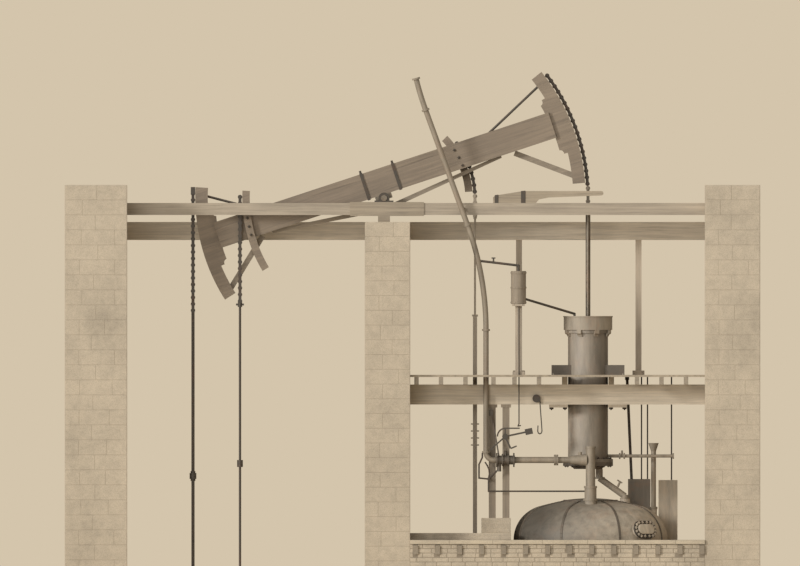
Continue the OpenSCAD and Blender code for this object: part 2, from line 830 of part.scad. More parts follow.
module eduction_pipe() {
  r = 70;
  low = bore_z - bottom_h - 60;
  foot = boss_top + 30;
  start = [eduction_x - 60, 0, low - 180];
  color(lead_grey) {
    translate(start) cylinder(h = 180, r = r);
    translate(start - [0, 0, 20]) cylinder(h = 40, r = r + 40);
    rod(start, [eduction_foot, 0, foot + 60], r - 6);
    translate([eduction_foot, 0, foot]) cylinder(h = 90, r = r);
    translate([eduction_foot, 0, foot]) cylinder(h = 30, r = boss_r - 20);
    rod([4640, 0, 2600], [4720, 0, 2760], 22);
    rod([4665, 0, 2800], [4765, 0, 2740], 14);
  }
}

snift_end = 5800;

module snift_pipe() {
  z = bore_z + flange_h + 60;
  color(pale_wood) difference() {
    union() {
      ring_x_at([steam_arm, snift_end], z, 32);
      ring_x_at([4700, 4730], z, 60);
      ring_x_at([4790, 4820], z, 60);
      ring_x_at([snift_end - 30, snift_end], z, 56);
      translate([4760, 0, z]) cylinder(h = 110, r = 20);
      rod([4760, -60, z + 100], [4760, 60, z + 100], 14);
    }
    translate([steam_arm, 0, bore_z]) cylinder(h = 1000, r = cyl_out + seat, $fn = 96);
  }
}

hot_well_x = [4880, 5330];
well_gap = 13;
well_inset = 20;
well_y_span = [sqrt(pow(boiler_r + well_gap, 2) - pow(hot_well_x[0] - boiler_x, 2)),
  wall_depth / 2 - well_inset];
feed_tank_x = [5490, 5870];
feed_tank_foot = setting_h + 260;

module open_tank(x, y, z, t) {
  difference() {
    block(x, y, z);
    block([x[0] + t, x[1] - t], [y[0] + t, y[1] - t], [z[0] + t, z[1] + 1]);
  }
}

hot_well_z = 2820;
tank_t = 24;

module hot_well() {
  color(iron) open_tank(hot_well_x, well_y_span, [setting_h, hot_well_z], tank_t);
}

module feed_tank() {
  color(lead_grey) open_tank(feed_tank_x, well_y_span, [feed_tank_foot, hot_well_z - 20], tank_t);
  color(brick) block(feed_tank_x, well_y_span, [setting_h, feed_tank_foot]);
}

stand_x = 5390;
stand_y = 250;
stand_h = 3540 - stand_foot;

module stand_pipe() {
  color(iron) translate([stand_x, stand_y, stand_foot]) difference() {
    union() {
      cylinder(h = stand_h, r = 50);
      translate([0, 0, stand_h - 160]) cylinder(h = 160, r1 = 51, r2 = 105);
      cylinder(h = 50, r = stand_boss_r + 10);
    }
    translate([0, 0, stand_h - 300]) cylinder(h = 301, r = 38);
  }
}

gauge_y = well_y_span[0] + 80;
gauge_x = [hot_well_x[0] + 270, hot_well_x[1] - 60, feed_tank_x[1] - 120];
gauge_r = 14;

// Thin rods that hang from the floor into the tanks
module gauge_rods() {
  top = joist_z + joist_h;
  color(iron) {
    for (x = gauge_x) rod([x, gauge_y, hot_well_z - 160], [x, gauge_y, top], gauge_r);
    rod([hot_well_x[0] + 80, gauge_y, hot_well_z - 200], [hot_well_x[0] - 18, gauge_y, top - 30],
      2 * gauge_r);
    translate([hot_well_x[0] - 18, gauge_y, top - 60]) cylinder(h = 60, r = 3 * gauge_r);
  }
}

pulley_x = 3050;
pulley_z = cyl_beam_z + 120;
cord_x = 2700;
cord_y = pipe_y + 145;

hook_line = [[66, -30], [110, -650], [98, -690], [66, -708], [36, -690], [24, -650], [30, -540]];

// Cord pulley on the front beam with its hook, and the control rod that hangs from the tank's shelf
module cord_pulley() {
  y = -(cyl_beam_y + cyl_beam_w);
  color(iron) {
    translate([pulley_x, y, pulley_z]) rotate([90, 0, 0]) cylinder(h = 30, r = 20);
    translate([pulley_x, y - 20, pulley_z]) rotate([90, 0, 0]) difference() {
      cylinder(h = 30, r = 80);
      translate([0, 0, -1]) cylinder(h = 8, r = 60);
      translate([0, 0, 23]) cylinder(h = 8, r = 60);
    }
    wire([[cord_x, -cord_y, tank_z[0] - 41], [cord_x, -cord_y, 3930], [cord_x - 20, -cord_y, 3880],
      [cord_x + 40, -cord_y, 3890]], 12);
    wire([for (p = hook_line) [pulley_x + p[0], y - 35, pulley_z + p[1]]], 11);
  }
}

handle_x = 2090;
handle_z = 2820;

loop_x = inj_x - 73;
collar_low = nozzle_z + elbow_r - collar_t / 2;
handle_loop = [[loop_x, collar_low - seat], [loop_x, collar_low - 90], [1900, 3110], [1900, handle_z + 20],
  [handle_x, handle_z], [handle_x, handle_z - 245], [steam_arm, handle_z - 245]];
handle_horn = [[handle_x, handle_z], [handle_x + 18, 2920], [handle_x + 10, 3010], [handle_x - 25, 3090],
  [handle_x - 70, 3160]];

// Looped regulator handle and its long pull rod to the steam pipe
module regulator_handle() {
  y = -pipe_y;
  color(iron) difference() {
    union() {
      rod([handle_x, y - 40, handle_z], [handle_x, -post_y[1], handle_z], 30);
      rod([handle_x, y, handle_z], [chest_x[0] + 40, y, nozzle_z - 200], 18);
      wire([for (p = handle_loop) [p[0], y, p[1]]], 16);
      wire([for (p = handle_horn) [p[0], y, p[1]]], 15);
    }
    translate([boiler_x, y, setting_h]) cylinder(h = drum_top - setting_h, r = boss_r + seal_gap);
    translate([chest_x[0] + 0.16 * (chest_x[1] - chest_x[0]), y, nozzle_z - 300])
      cylinder(h = 300, r = 44 + seal_gap);
  }
}

door_gap = 4;

// Hinged iron door, shut on the furnace mouth
module fire_door() {
  x = steam_arm;
  y = -wall_depth / 2;
  half = fire_w / 2 - door_gap;
  color(iron) {
    plate([y + 40, y + 80]) {
      translate([x - half, fire_z]) square([2 * half, fire_h - fire_w / 2]);
      translate([x, fire_z + fire_h - fire_w / 2]) circle(r = half);
    }
    for (z = [120, 360]) block([x - fire_w / 2 + 70, x + 120], [y + 20, y + 41],
      [fire_z + z, fire_z + z + 40]);
    rod([x + 190, y + 41, fire_z + 240], [x + 190, y - 10, fire_z + 240], 14);
  }
}

// Great beam and what rocks with it

module great_beam() {
  color(wood) tilted() block([-beam_left, beam_right], [-beam_w / 2, beam_w / 2],
    [beam_seat, beam_seat + beam_h]);
}

strap_x = [-290, 375];

module beam_straps() {
  t = 18;
  color(iron) tilted() for (x = strap_x) {
    difference() {
      block([x - 30, x + 30], [-beam_w / 2 - t, beam_w / 2 + t], [beam_seat - t, beam_seat + beam_h + t]);
      block([x - 31, x + 31], [-beam_w / 2, beam_w / 2], [beam_seat, beam_seat + beam_h]);
    }
    for (y = [-150, 150]) translate([x, y, beam_seat + beam_h + t - 1]) cylinder(h = 50, r = 22);
  }
}

tie_drop = 200;
tie_h = 90;
tie_w = 160;
tie_ends = [-2330, 2490];

module gudgeon() {
  color(iron) {
    translate([0, spring_y + spring_w, pivot_z]) rotate([90, 0, 0])
      cylinder(h = 2 * (spring_y + spring_w), r = gudgeon_r);
    tilted() {
      block([-170, 170], [-beam_w / 2, beam_w / 2], [-40, beam_seat]);
      block([-90, 90], [-tie_w / 2, tie_w / 2], [-tie_drop + tie_h / 2, 0]);
    }
  }
}

// Bowed timber under the gudgeon, from end to end of the middle of the beam
module under_tie() {
  y = [-tie_w / 2, tie_w / 2];
  drop = tie_drop - tie_h / 2;
  color(pale_wood) tilted() plate(y) difference() {
    polygon([[tie_ends[0], beam_seat], [tie_ends[0] + 260, beam_seat], [-90, -drop], [90, -drop],
      [tie_ends[1] - 260, beam_seat], [tie_ends[1], beam_seat], [tie_ends[1], beam_seat - 40],
        [90, -drop - tie_h],
      [-90, -drop - tie_h], [tie_ends[0], beam_seat - 40]]);
  }
}

// Part of a ring round the pivot, between two polar angles
module sector(r_in, r_out, a) {
  far = r_out * 1.4;
  intersection() {
    difference() {
      circle(r = r_out, $fn = 720);
      circle(r = r_in, $fn = 720);
    }
    polygon([[0, 0], [far * cos(a[0]), far * sin(a[0])], [far, 0], [far * cos(a[1]), far * sin(a[1])]]);
  }
}

notch_r = 150;
notch_a = 9;

// Arch head outline: deep behind the beam, then a scooped step down to slim ends
module arch_outline(rim, a) {
  mid = 4.6;
  difference() {
    sector(rim - arch_deep, rim, a);
    sector(rim - arch_deep - 10, rim - arch_slim, [mid + notch_a, a[1] + 1]);
    sector(rim - arch_deep - 10, rim - arch_slim, [a[0] - 1, mid - notch_a]);
    for (s = [-1, 1]) rotate(mid + s * (notch_a - 0.2)) translate([rim - arch_deep, 0])
      circle(r = notch_r / 2, $fn = 32);
  }
}

module steam_arch() {
  color(wood) tilted() difference() {
    plate([-arch_w / 2, arch_w / 2]) arch_outline(steam_rim, steam_arch_a);
    block([0, beam_right], [-beam_w, beam_w], [beam_seat, beam_seat + beam_h]);
  }
}

module pump_arch() {
  color(wood) tilted() mirror([1, 0, 0]) difference() {
    plate([-arch_w / 2, arch_w / 2]) arch_outline(pump_rim, pump_arch_a);
    block([0, beam_left], [-beam_w, beam_w], [beam_seat, beam_seat + beam_h]);
  }
}

// Two small arches bolted to the beam's sides
module side_arches() {
  y = [side_arch_y, side_arch_y + side_arch_w];
  color(wood) tilted() {
    plate(y) sector(plug_rim - side_arch_deep, plug_rim, plug_arch_a);
    mirror([1, 0, 0]) plate([-y[1], -y[0]]) sector(jack_rim - side_arch_deep, jack_rim, jack_arch_a);
  }
}

strut_y = [-60, 60];

module arch_struts() {
  h = 110;
  foot = beam_seat;
  color(pale_wood) tilted() difference() {
    union() {
      bar([2760, foot - 30], [steam_rim - arch_slim + 60, -840], h, strut_y);
      bar([-2540, foot - 30], [-(pump_rim - arch_slim) - 60, -850], h, strut_y);
    }
    block([-beam_left, beam_right], [-beam_w, beam_w], [foot, foot + beam_h]);
    plate([-arch_w, arch_w]) circle_outside(steam_rim - arch_slim, steam_rim + 900);
    mirror([1, 0, 0]) plate([-arch_w, arch_w]) circle_outside(pump_rim - arch_slim, pump_rim + 900);
  }
}

module circle_outside(r_in, r_out) {
  sector(r_in, r_out, [-30, 30]);
}

// Where each tie's foot stands on the beam, and the height of its other end
steam_tie = [steam_arm - 1680, 1260];
pump_tie = [pump_arm - 1340, 1290];
tie_r = 24;

// Iron tie rods over the beam, and the hooks that hold the pump chains
module arch_ties() {
  top = beam_seat + beam_h;
  color(iron) {
    tilted() difference() {
      union() {
        rod([steam_tie[0], 0, top - 20], [steam_rim - arch_slim + 60, 0, steam_tie[1]], tie_r);
        rod([-pump_tie[0], 0, top - 20], [-(pump_rim - arch_slim) - 60, 0, pump_tie[1]], tie_r);
      }
      block([-beam_left, beam_right], [-beam_w, beam_w], [top - 200, top]);
      plate([-arch_w, arch_w]) circle_outside(steam_rim - arch_slim, steam_rim + 900);
      mirror([1, 0, 0]) plate([-arch_w, arch_w]) circle_outside(pump_rim - arch_slim, pump_rim + 900);
    }
  }
}

// One chain link hangs from a pin at the origin: two plates, outer or inner, and its pin
module link(i, l) {
  inner = i % 2 == 0 ? 10 : 10 + link_t + 1;
  for (s = [-1, 1]) {
    y = s * (inner + link_t / 2);
    plate([y - link_t / 2, y + link_t / 2]) union() {
      circle(r = link_h / 2, $fn = 24);
      translate([-link_h / 3, -l]) square([link_h * 2 / 3, l]);
      translate([0, -l]) circle(r = link_h / 2, $fn = 24);
    }
  }
  link_pin();
}

pin_reach = 10 + 2 * link_t + 8;

module link_pin() {
  translate([0, pin_reach, 0]) rotate([90, 0, 0]) cylinder(h = 2 * pin_reach, r = link_h / 4, $fn = 24);
}

module chain_down(count) {
  for (i = [0 : count - 1]) translate([0, 0, -i * chain_pitch]) link(i, chain_pitch);
  translate([0, 0, -count * chain_pitch]) link_pin();
}

// Links laid round an arch, counted upwards from the point where the chain leaves it
module chain_round(r, count) {
  step = 2 * asin(chain_pitch / 2 / r);
  for (i = [1 : count]) rotate([0, -(leave_a + i * step), 0]) translate([r, 0, 0])
    rotate([0, step / 2, 0]) link(i, chain_pitch);
  rotate([0, -leave_a, 0]) translate([r, 0, 0]) link_pin();
}

steam_links = 18;
plug_links = 8;

module steam_chain() {
  color(iron) translate([0, 0, pivot_z]) chain_round(steam_arm, steam_links);
}

module plug_chain() {
  color(iron) translate([0, chain_y, pivot_z]) chain_round(plug_arm, plug_links);
}

// Piston, rods and what hangs from the chains

module piston() {
  z = cyl_top - 30 - piston_h;
  color(iron) translate([steam_arm, 0, z]) {
    difference() {
      cylinder(h = piston_h, r = bore_r - seat, $fn = 96);
      translate([0, 0, piston_h - 50]) cylinder(h = 60, r = bore_r - 50, $fn = 96);
    }
    translate([0, 0, piston_h - 51]) cylinder(h = 51, r1 = 120, r2 = 70);
  }
}

// Height at which a hanging chain's top pin lies just under the last link on its arch
function hang_z(r) = pivot_z + r * sin(leave_a)
  - sqrt(pow(link_h + seat / 3, 2) - pow(r * (1 - cos(leave_a)), 2));

module piston_rod() {
  top = hang_z(steam_arm) - 2 * chain_pitch;
  low = cyl_top - 30 + seat;
  color(iron) translate([steam_arm, 0, 0]) {
    translate([0, 0, hang_z(steam_arm)]) chain_down(2);
    translate([0, 0, low]) cylinder(h = top - low - 40, r = piston_rod_r);
    translate([0, 0, top - 110]) cylinder(h = 110, r = 8 + link_h / 4);
    difference() {
      translate([0, 0, top - 150]) cylinder(h = 90, r = piston_rod_r + 16);
      translate([0, 0, top - 160]) cylinder(h = 110, r = piston_rod_r - 4);
    }
  }
}

pump_chain_links = 18;
pump_low = 120;

module pump_rod() {
  top = pivot_z + 90;
  low = top - pump_chain_links * chain_pitch;
  color(iron) translate([-pump_arm, 0, 0]) {
    translate([0, 0, top]) chain_down(pump_chain_links);
    block([-link_h / 2, link_h / 2], [-pin_reach - 20, pin_reach + 20], [top - 20, top + 130]);
    translate([0, 0, pump_low]) cylinder(h = low - pump_low, r = pump_rod_r);
    translate([0, 0, 2820]) cylinder(h = 120, r = pump_rod_r + 36);
    translate([0, 0, 2780]) cylinder(h = 200, r = pump_rod_r + 16);
  }
}

jack_chain_links = 16;

module jack_rod() {
  top = pivot_z + 20;
  low = top - jack_chain_links * chain_pitch;
  color(iron) translate([-jack_arm, -chain_y, 0]) {
    translate([0, 0, top]) chain_down(jack_chain_links);
    translate([0, 0, low - 120]) cylinder(h = 120, r = 44);
    block([-80, 80], [-20, 20], [low - 90, low - 50]);
    translate([0, 0, pump_low]) cylinder(h = low - pump_low - 100, r = pump_rod_r - 8);
    translate([0, 0, 3060]) cylinder(h = 140, r = pump_rod_r + 26);
  }
}

plug_bar_top = 6080;
plug_bar_low = setting_h + platform_h - 20;

module plug_rod() {
  top = hang_z(plug_arm) + seat / 2;
  links = 3;
  low = top - links * chain_pitch;
  w = plug_rod_w / 2;
  color(iron) translate([plug_arm, chain_y, 0]) {
    translate([0, 0, top]) chain_down(links);
    translate([0, 0, plug_bar_top - 20]) cylinder(h = low - plug_bar_top, r = 20);
    translate([0, 0, low - 60]) cylinder(h = 60, r = 36);
    block([-60, 60], [-14, 14], [plug_bar_top - 10, plug_bar_top + 30]);
  }
  color(wood) translate([plug_arm, chain_y, 0]) {
    block([-w, w], [-w, w], [plug_bar_low, plug_bar_top]);
    for (z = [3500, 3640, 3780, 3920]) rod([-w - 40, 0, z], [w + 40, 0, z], 12);
  }
}

bob_x = 2424;
bob_z = 3670;
bob_y = -950;
arbor_r = 34;

// Weighted lever on its arbor, with curved horns that the plug rod's pegs strike
module tumbling_bob() {
  y = [bob_y - 50, bob_y];
  color(iron) {
    translate([bob_x, post_y[1] + 30, bob_z]) rotate([90, 0, 0])
      cylinder(h = post_y[1] + 90 - bob_y, r = arbor_r);
    translate([bob_x, bob_y + 10, bob_z]) rotate([90, 0, 0]) cylinder(h = 70, r = 60);
    bar([bob_x, bob_z], [bob_x + 420, bob_z + 90], 36, y);
    plate([bob_y - 65, bob_y + 15]) translate([bob_x + 400, bob_z + 85]) rotate(12) translate([0, -60])
      square([150, 120]);
    bar([bob_x, bob_z], [bob_x - 300, bob_z - 270], 30, y);
    bar([bob_x, bob_z], [bob_x + 110, bob_z - 240], 34, y);
    bar([bob_x + 110, bob_z - 240], [bob_x + 230, bob_z - 190], 30, y);
    plate(y) translate([bob_x + 10, bob_z]) difference() {
      circle(r = 180, $fn = 48);
      circle(r = 150, $fn = 48);
      translate([-10, -200]) square([400, 400]);
      translate([-200, -200]) square([400, 200]);
    }
    bar([bob_x, bob_z + 165], [bob_x + 290, bob_z + 165], 28, y);
    bar([bob_x, bob_z], [bob_x, bob_z + 170], 30, y);
  }
}

lever_wall();
pump_end_wall();
steam_end_wall();
boiler_setting();
gear_platform();
spring_beams_pump();
spring_beams_steam();
bearing_blocks();
plummer_blocks();
catch_springs();
loft_beam_pump();
loft_beam_steam();
loft_posts();
cylinder_beam_front();
cylinder_beam_back();
cylinder_bearers();
cylinder_lugs();
hold_down_plates();
floor_joists();
floor_boards();
gear_posts();
steam_cylinder();
cylinder_bottom();
cylinder_cup();
boiler();
boiler_straps();
manhole();
steam_pipe();
injection_pipe();
valve_chest();
nozzle_pipe();
seal_tank();
seal_tank_post();
seal_pipes();
eduction_pipe();
snift_pipe();
hot_well();
feed_tank();
stand_pipe();
gauge_rods();
cord_pulley();
regulator_handle();
fire_door();
great_beam();
beam_straps();
gudgeon();
under_tie();
steam_arch();
pump_arch();
side_arches();
arch_struts();
arch_ties();
steam_chain();
plug_chain();
piston();
piston_rod();
pump_rod();
jack_rod();
plug_rod();
tumbling_bob();
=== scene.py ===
import math
import random
import bpy
from mathutils import Matrix, Vector


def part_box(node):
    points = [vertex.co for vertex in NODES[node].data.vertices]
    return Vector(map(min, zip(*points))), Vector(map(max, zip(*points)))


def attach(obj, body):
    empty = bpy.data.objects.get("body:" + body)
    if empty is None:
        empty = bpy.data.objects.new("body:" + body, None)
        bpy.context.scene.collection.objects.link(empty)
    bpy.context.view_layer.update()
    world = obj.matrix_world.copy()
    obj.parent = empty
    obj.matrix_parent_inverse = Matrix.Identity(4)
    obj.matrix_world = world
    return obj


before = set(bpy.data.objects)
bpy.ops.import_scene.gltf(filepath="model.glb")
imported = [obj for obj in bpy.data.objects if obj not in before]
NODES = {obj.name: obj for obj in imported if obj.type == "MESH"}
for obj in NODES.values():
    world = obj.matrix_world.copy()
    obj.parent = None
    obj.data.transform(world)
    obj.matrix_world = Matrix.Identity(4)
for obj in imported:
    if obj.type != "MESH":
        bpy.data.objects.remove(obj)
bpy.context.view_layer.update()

HOUSE = "engine_house"
BEAM_TILT = math.radians(18.2)
PIVOT = Vector((0.0, 0.0, 8.44))

# Materials


def lin(rgb):
    """Blender's linear colour for an sRGB colour of 0 to 255."""
    parts = [c / 255 for c in rgb]
    return tuple(c / 12.92 if c <= 0.04045 else ((c + 0.055) / 1.055) ** 2.4 for c in parts) + (1.0,)


class Tree:
    """A material's node tree, with short ways to add nodes to it."""

    def __init__(self, name):
        self.mat = bpy.data.materials.new(name)
        self.mat.use_nodes = True
        self.t = self.mat.node_tree
        self.t.nodes.clear()
        self.out = self.t.nodes.new("ShaderNodeOutputMaterial")
        self.bsdf = self.t.nodes.new("ShaderNodeBsdfPrincipled")
        self.link(self.bsdf.outputs[0], self.out.inputs[0])
        self.coord = self.t.nodes.new("ShaderNodeTexCoord").outputs["Object"]

    def link(self, a, b):
        self.t.links.new(a, b)

    def node(self, kind, **inputs):
        n = self.t.nodes.new(kind)
        for k, v in inputs.items():
            n.inputs[k.replace("_", " ")].default_value = v
        return n

    def mapped(self, scale=(1, 1, 1), rotation=(0, 0, 0), vec=None):
        m = self.node("ShaderNodeMapping", Scale=scale, Rotation=rotation)
        self.link(self.coord if vec is None else vec, m.inputs["Vector"])
        return m.outputs[0]

    def noise(self, vec, scale, detail=6.0, rough=0.6, distort=0.0):
        n = self.node("ShaderNodeTexNoise", Scale=scale, Detail=detail, Roughness=rough, Distortion=distort)
        self.link(vec, n.inputs["Vector"])
        return n.outputs["Fac"]

    def ramp(self, fac, stops):
        r = self.t.nodes.new("ShaderNodeValToRGB")
        e = r.color_ramp.elements
        while len(e) < len(stops):
            e.new(0.5)
        for i, (pos, col) in enumerate(stops):
            e[i].position = pos
            e[i].color = col
        self.link(fac, r.inputs[0])
        return r.outputs[0]

    def grey(self, fac, lo, hi, a=0.3, b=0.7):
        """Grey lo where fac is a, grey hi where it is b."""
        return self.ramp(fac, [(a, (lo, lo, lo, 1)), (b, (hi, hi, hi, 1))])

    def mix(self, a, b, fac, blend="MIX"):
        m = self.t.nodes.new("ShaderNodeMix")
        m.data_type = "RGBA"
        m.blend_type = blend
        for value, socket in ((fac, m.inputs[0]), (a, m.inputs[6]), (b, m.inputs[7])):
            if isinstance(value, (int, float, tuple)):
                socket.default_value = value
            else:
                self.link(value, socket)
        return m.outputs[2]

    def finish(self, colour, rough, height=None, strength=0.3, depth=0.004, metallic=0.0):
        self.link(colour, self.bsdf.inputs["Base Color"])
        if isinstance(rough, float):
            self.bsdf.inputs["Roughness"].default_value = rough
        else:
            self.link(rough, self.bsdf.inputs["Roughness"])
        self.bsdf.inputs["Metallic"].default_value = metallic
        if height is not None:
            b = self.node("ShaderNodeBump", Strength=strength, Distance=depth)
            self.link(height, b.inputs["Height"])
            self.link(b.outputs[0], self.bsdf.inputs["Normal"])
        return self.mat


def shade(rgb, f):
    """The colour rgb made f times as bright."""
    return lin(tuple(min(255, c * f) for c in rgb))


def stone_mat(name, rgb, dark=0.88, pale=1.06, speck=70.0):
    """Tooled stone: blotches metres wide, a stipple of chisel marks, and dirt in the low places."""
    t = Tree(name)
    v = t.mapped()
    blotch = t.noise(v, 0.9, 5.0, 0.6)
    patch = t.noise(v, 6.0, 8.0, 0.65, 0.4)
    stipple = t.noise(v, speck, 3.0, 0.7)
    base = t.ramp(blotch, [(0.3, shade(rgb, dark)), (0.5, shade(rgb, 1.0)), (0.72, shade(rgb, pale))])
    base = t.mix(base, t.ramp(patch, [(0.35, shade(rgb, dark)), (0.6, shade(rgb, 1.05))]), 0.35)
    base = t.mix(base, t.grey(stipple, 0.66, 1.0, 0.40, 0.50), 0.6, "MULTIPLY")
    height = t.mix(t.grey(patch, 0.2, 0.9), t.grey(stipple, 0.0, 1.0, 0.35, 0.6), 0.5)
    return t.finish(base, t.grey(patch, 0.82, 0.96), height, 0.55, 0.006)


GRAIN_STRETCH = 0.042


def wood_mat(name, rgb, axis="x", lean=0.0):
    """Sawn oak: grain along the axis, growth rings, shakes, and weathering."""
    t = Tree(name)
    dark = 0.78
    along = tuple(GRAIN_STRETCH if a == axis else 1.0 for a in "xyz")
    v = t.mapped(scale=along, vec=t.mapped(rotation=(0.0, lean, 0.0)))
    grain = t.noise(v, 26.0, 10.0, 0.7, 0.6)
    ring = t.noise(v, 5.0, 3.0, 0.5, 1.6)
    shake = t.noise(v, 11.0, 4.0, 0.55, 0.2)
    weather = t.noise(t.coord, 1.3, 5.0, 0.6)
    base = t.ramp(grain, [(0.28, shade(rgb, dark)), (0.5, shade(rgb, 0.98)), (0.75, shade(rgb, 1.12))])
    base = t.mix(base, t.ramp(ring, [(0.35, shade(rgb, dark * 1.05)), (0.62, shade(rgb, 1.08))]), 0.35)
    base = t.mix(base, t.grey(shake, 0.35, 1.0, 0.30, 0.36), 0.5, "MULTIPLY")
    base = t.mix(base, t.grey(weather, 0.84, 1.06, 0.3, 0.7), 0.6, "MULTIPLY")
    height = t.mix(t.grey(grain, 0.0, 1.0, 0.3, 0.7), t.grey(shake, 0.0, 1.0, 0.30, 0.38), 0.5)
    return t.finish(base, t.grey(grain, 0.62, 0.86), height, 0.6, 0.004)


def metal_mat(name, rgb, metallic=0.4, rough=(0.42, 0.7), rust=0.2, streaks=False, hammer=0.002,
              painted_shade=None):
    """Iron or lead: mottled scale, rust in patches, hammer marks, and run-down streaks.

    The last argument gives two places along X: painted shade darkens the colour most at the first and fades
    out by the second.
    """
    t = Tree(name)
    v = t.mapped((1, 1, 0.16) if streaks else (1, 1, 1))
    mottle = t.noise(v, 7.0, 9.0, 0.66, 0.3)
    fine = t.noise(t.coord, 120.0, 4.0, 0.7)
    dent = t.noise(t.coord, 14.0, 2.0, 0.5)
    patch = t.noise(t.coord, 3.1, 8.0, 0.72, 0.5)
    base = t.ramp(mottle, [(0.3, shade(rgb, 0.84)), (0.52, shade(rgb, 1.0)), (0.75, shade(rgb, 1.12))])
    rusty = (min(255, rgb[0] * 1.25 + 24), rgb[1] * 0.95 + 4, rgb[2] * 0.62)
    base = t.mix(base, lin(rusty), t.grey(patch, 0.0, rust, 0.48, 0.66))
    base = t.mix(base, t.grey(fine, 0.82, 1.0, 0.35, 0.6), 0.6, "MULTIPLY")
    # Painted shade along X: the colour darkened towards one side, standing in for the shade on that side
    if painted_shade:
        split = t.t.nodes.new("ShaderNodeSeparateXYZ")
        t.link(t.coord, split.inputs[0])
        fade = t.node("ShaderNodeMapRange")
        t.link(split.outputs[0], fade.inputs["Value"])
        fade.inputs["From Min"].default_value, fade.inputs["From Max"].default_value = painted_shade
        base = t.mix(base, t.grey(fade.outputs[0], 0.16, 1.0, 0.0, 1.0), 0.95, "MULTIPLY")
    height = t.mix(t.grey(dent, 0.0, 1.0), t.grey(fine, 0.0, 1.0), 0.25)
    return t.finish(base, t.grey(mottle, rough[0], rough[1]), height, 0.45, hammer, metallic)


# Colours, as sRGB of 0 to 255
STONE = (190, 175, 152)
COPING = (196, 181, 156)
MORTAR = (150, 137, 118)
JOINT = (168, 154, 133)
TIMBER = (137, 122, 104)
SAWN = (170, 156, 136)
JOIST = (150, 137, 118)
PALE = (164, 149, 127)
# Oak made paler for the loft beams and cylinder beams: painted light, standing in for the light they lose in
# the shadow of the end walls and the floor
PAINTED_LIGHT_OAK = (204, 189, 166)
POST = (146, 132, 113)
PALE_POST = (176, 161, 140)
STRUT = (150, 136, 117)
IRON = (78, 72, 64)
GREY_IRON = (104, 96, 85)
RUBBED = (110, 102, 90)
CYLINDER = (169, 157, 140)
CUP = (156, 144, 126)
PLATE = (187, 174, 154)
STRAP = (104, 95, 83)
LEAD = (146, 134, 116)
# The hot well's and feed tank's colours are their own tones made paler: part painted light, standing in for
# the light they lose in the shade behind the boiler
HOT_WELL = (140, 131, 118)
FEED_TANK = (206, 192, 170)
PAPER = (212, 197, 172)
GROUND_DARK, GROUND_PALE = (218, 203, 176), (226, 212, 186)

M = {
    "stone": stone_mat("tooled_stone", STONE),
    "brick": stone_mat("worn_brick", STONE, 0.84, 1.08),
    "mortar": stone_mat("lime_mortar", MORTAR, speck=140.0),
    "joint": stone_mat("wall_joint", JOINT, 0.9, 1.05, 140.0),
    "coping": stone_mat("coping_stone", COPING),
    "beam": wood_mat("great_beam_oak", TIMBER, "x", BEAM_TILT),
    "timber": wood_mat("oak_along", SAWN, "x"),
    "joist": wood_mat("oak_across", JOIST, "y"),
    "pale": wood_mat("pale_oak_along", PALE, "x"),
    "painted_light": wood_mat("painted_light_oak", PAINTED_LIGHT_OAK, "x"),
    "pale_y": wood_mat("pale_oak_across", PALE, "y"),
    "post": wood_mat("oak_upright", POST, "z"),
    "pale_post": wood_mat("pale_oak_upright", PALE_POST, "z"),
    "plug": wood_mat("plug_oak_upright", SAWN, "z"),
    "strut": wood_mat("strut_oak", STRUT, "x", BEAM_TILT),
    "iron": metal_mat("forged_iron", IRON),
    "grey": metal_mat("grey_iron", GREY_IRON, 0.3, (0.5, 0.75), 0.12),
    "bright": metal_mat("rubbed_iron", RUBBED, 0.75, (0.28, 0.5), 0.12),
    # The cylinder and the boiler plates carry painted shade along X: the cylinder darker to its right, the
    # boiler darker to its left
    "cylinder": metal_mat("cylinder_iron", CYLINDER, 0.12, (0.45, 0.65), 0.06, True, painted_shade=(4.99, 3.60)),
    "cup": metal_mat("lead_lined_cup", CUP, 0.1, (0.5, 0.72), 0.08, True),
    "plate": metal_mat("boiler_plate", PLATE, 0.12, (0.5, 0.72), 0.08, hammer=0.004, painted_shade=(3.15, 5.05)),
    "strap": metal_mat("boiler_strap", STRAP, 0.25, (0.5, 0.75), 0.12),
    "pipe": metal_mat("dull_lead", LEAD, 0.12, (0.5, 0.72), 0.06, True),
    "tank": metal_mat("hot_well_iron", HOT_WELL, 0.2, (0.5, 0.75), 0.15, True),
    "lined": metal_mat("feed_tank_lead", FEED_TANK, 0.05, (0.5, 0.75), 0.06, True),
}

# The nodes that wear each material
NODE_MATERIAL = {
    "joint": "lever_wall pump_end_wall steam_end_wall",
    "mortar": "boiler_setting",
    "coping": "gear_platform",
    "beam": "great_beam steam_arch pump_arch side_arches",
    "timber": "spring_beams_pump spring_beams_steam",
    "joist": "floor_joists",
    "pale": "bearing_blocks catch_springs",
    # These beams wear the paler oak, which is painted light for their shadowed places
    "painted_light": "loft_beam_pump loft_beam_steam cylinder_beam_front cylinder_beam_back",
    "pale_y": "cylinder_bearers floor_boards hold_down_plates",
    "post": "gear_posts seal_tank",
    "pale_post": "loft_posts seal_tank_post",
    "plug": "plug_rod",
    "strut": "under_tie arch_struts",
    "iron": "plummer_blocks seal_pipes gauge_rods cord_pulley regulator_handle fire_door beam_straps "
            "arch_ties steam_chain plug_chain jack_rod pump_rod tumbling_bob manhole",
    "grey": "cylinder_lugs cylinder_bottom valve_chest",
    "bright": "gudgeon piston piston_rod",
    "cylinder": "steam_cylinder",
    "cup": "cylinder_cup",
    "plate": "boiler",
    "strap": "boiler_straps",
    "tank": "hot_well",
    "lined": "feed_tank",
    "pipe": "stand_pipe steam_pipe injection_pipe nozzle_pipe eduction_pipe snift_pipe",
}

for key, names in NODE_MATERIAL.items():
    for n in names.split():
        slots = NODES[n].material_slots
        for s in slots:
            s.material = M[key]
        if not slots:
            NODES[n].data.materials.append(M[key])

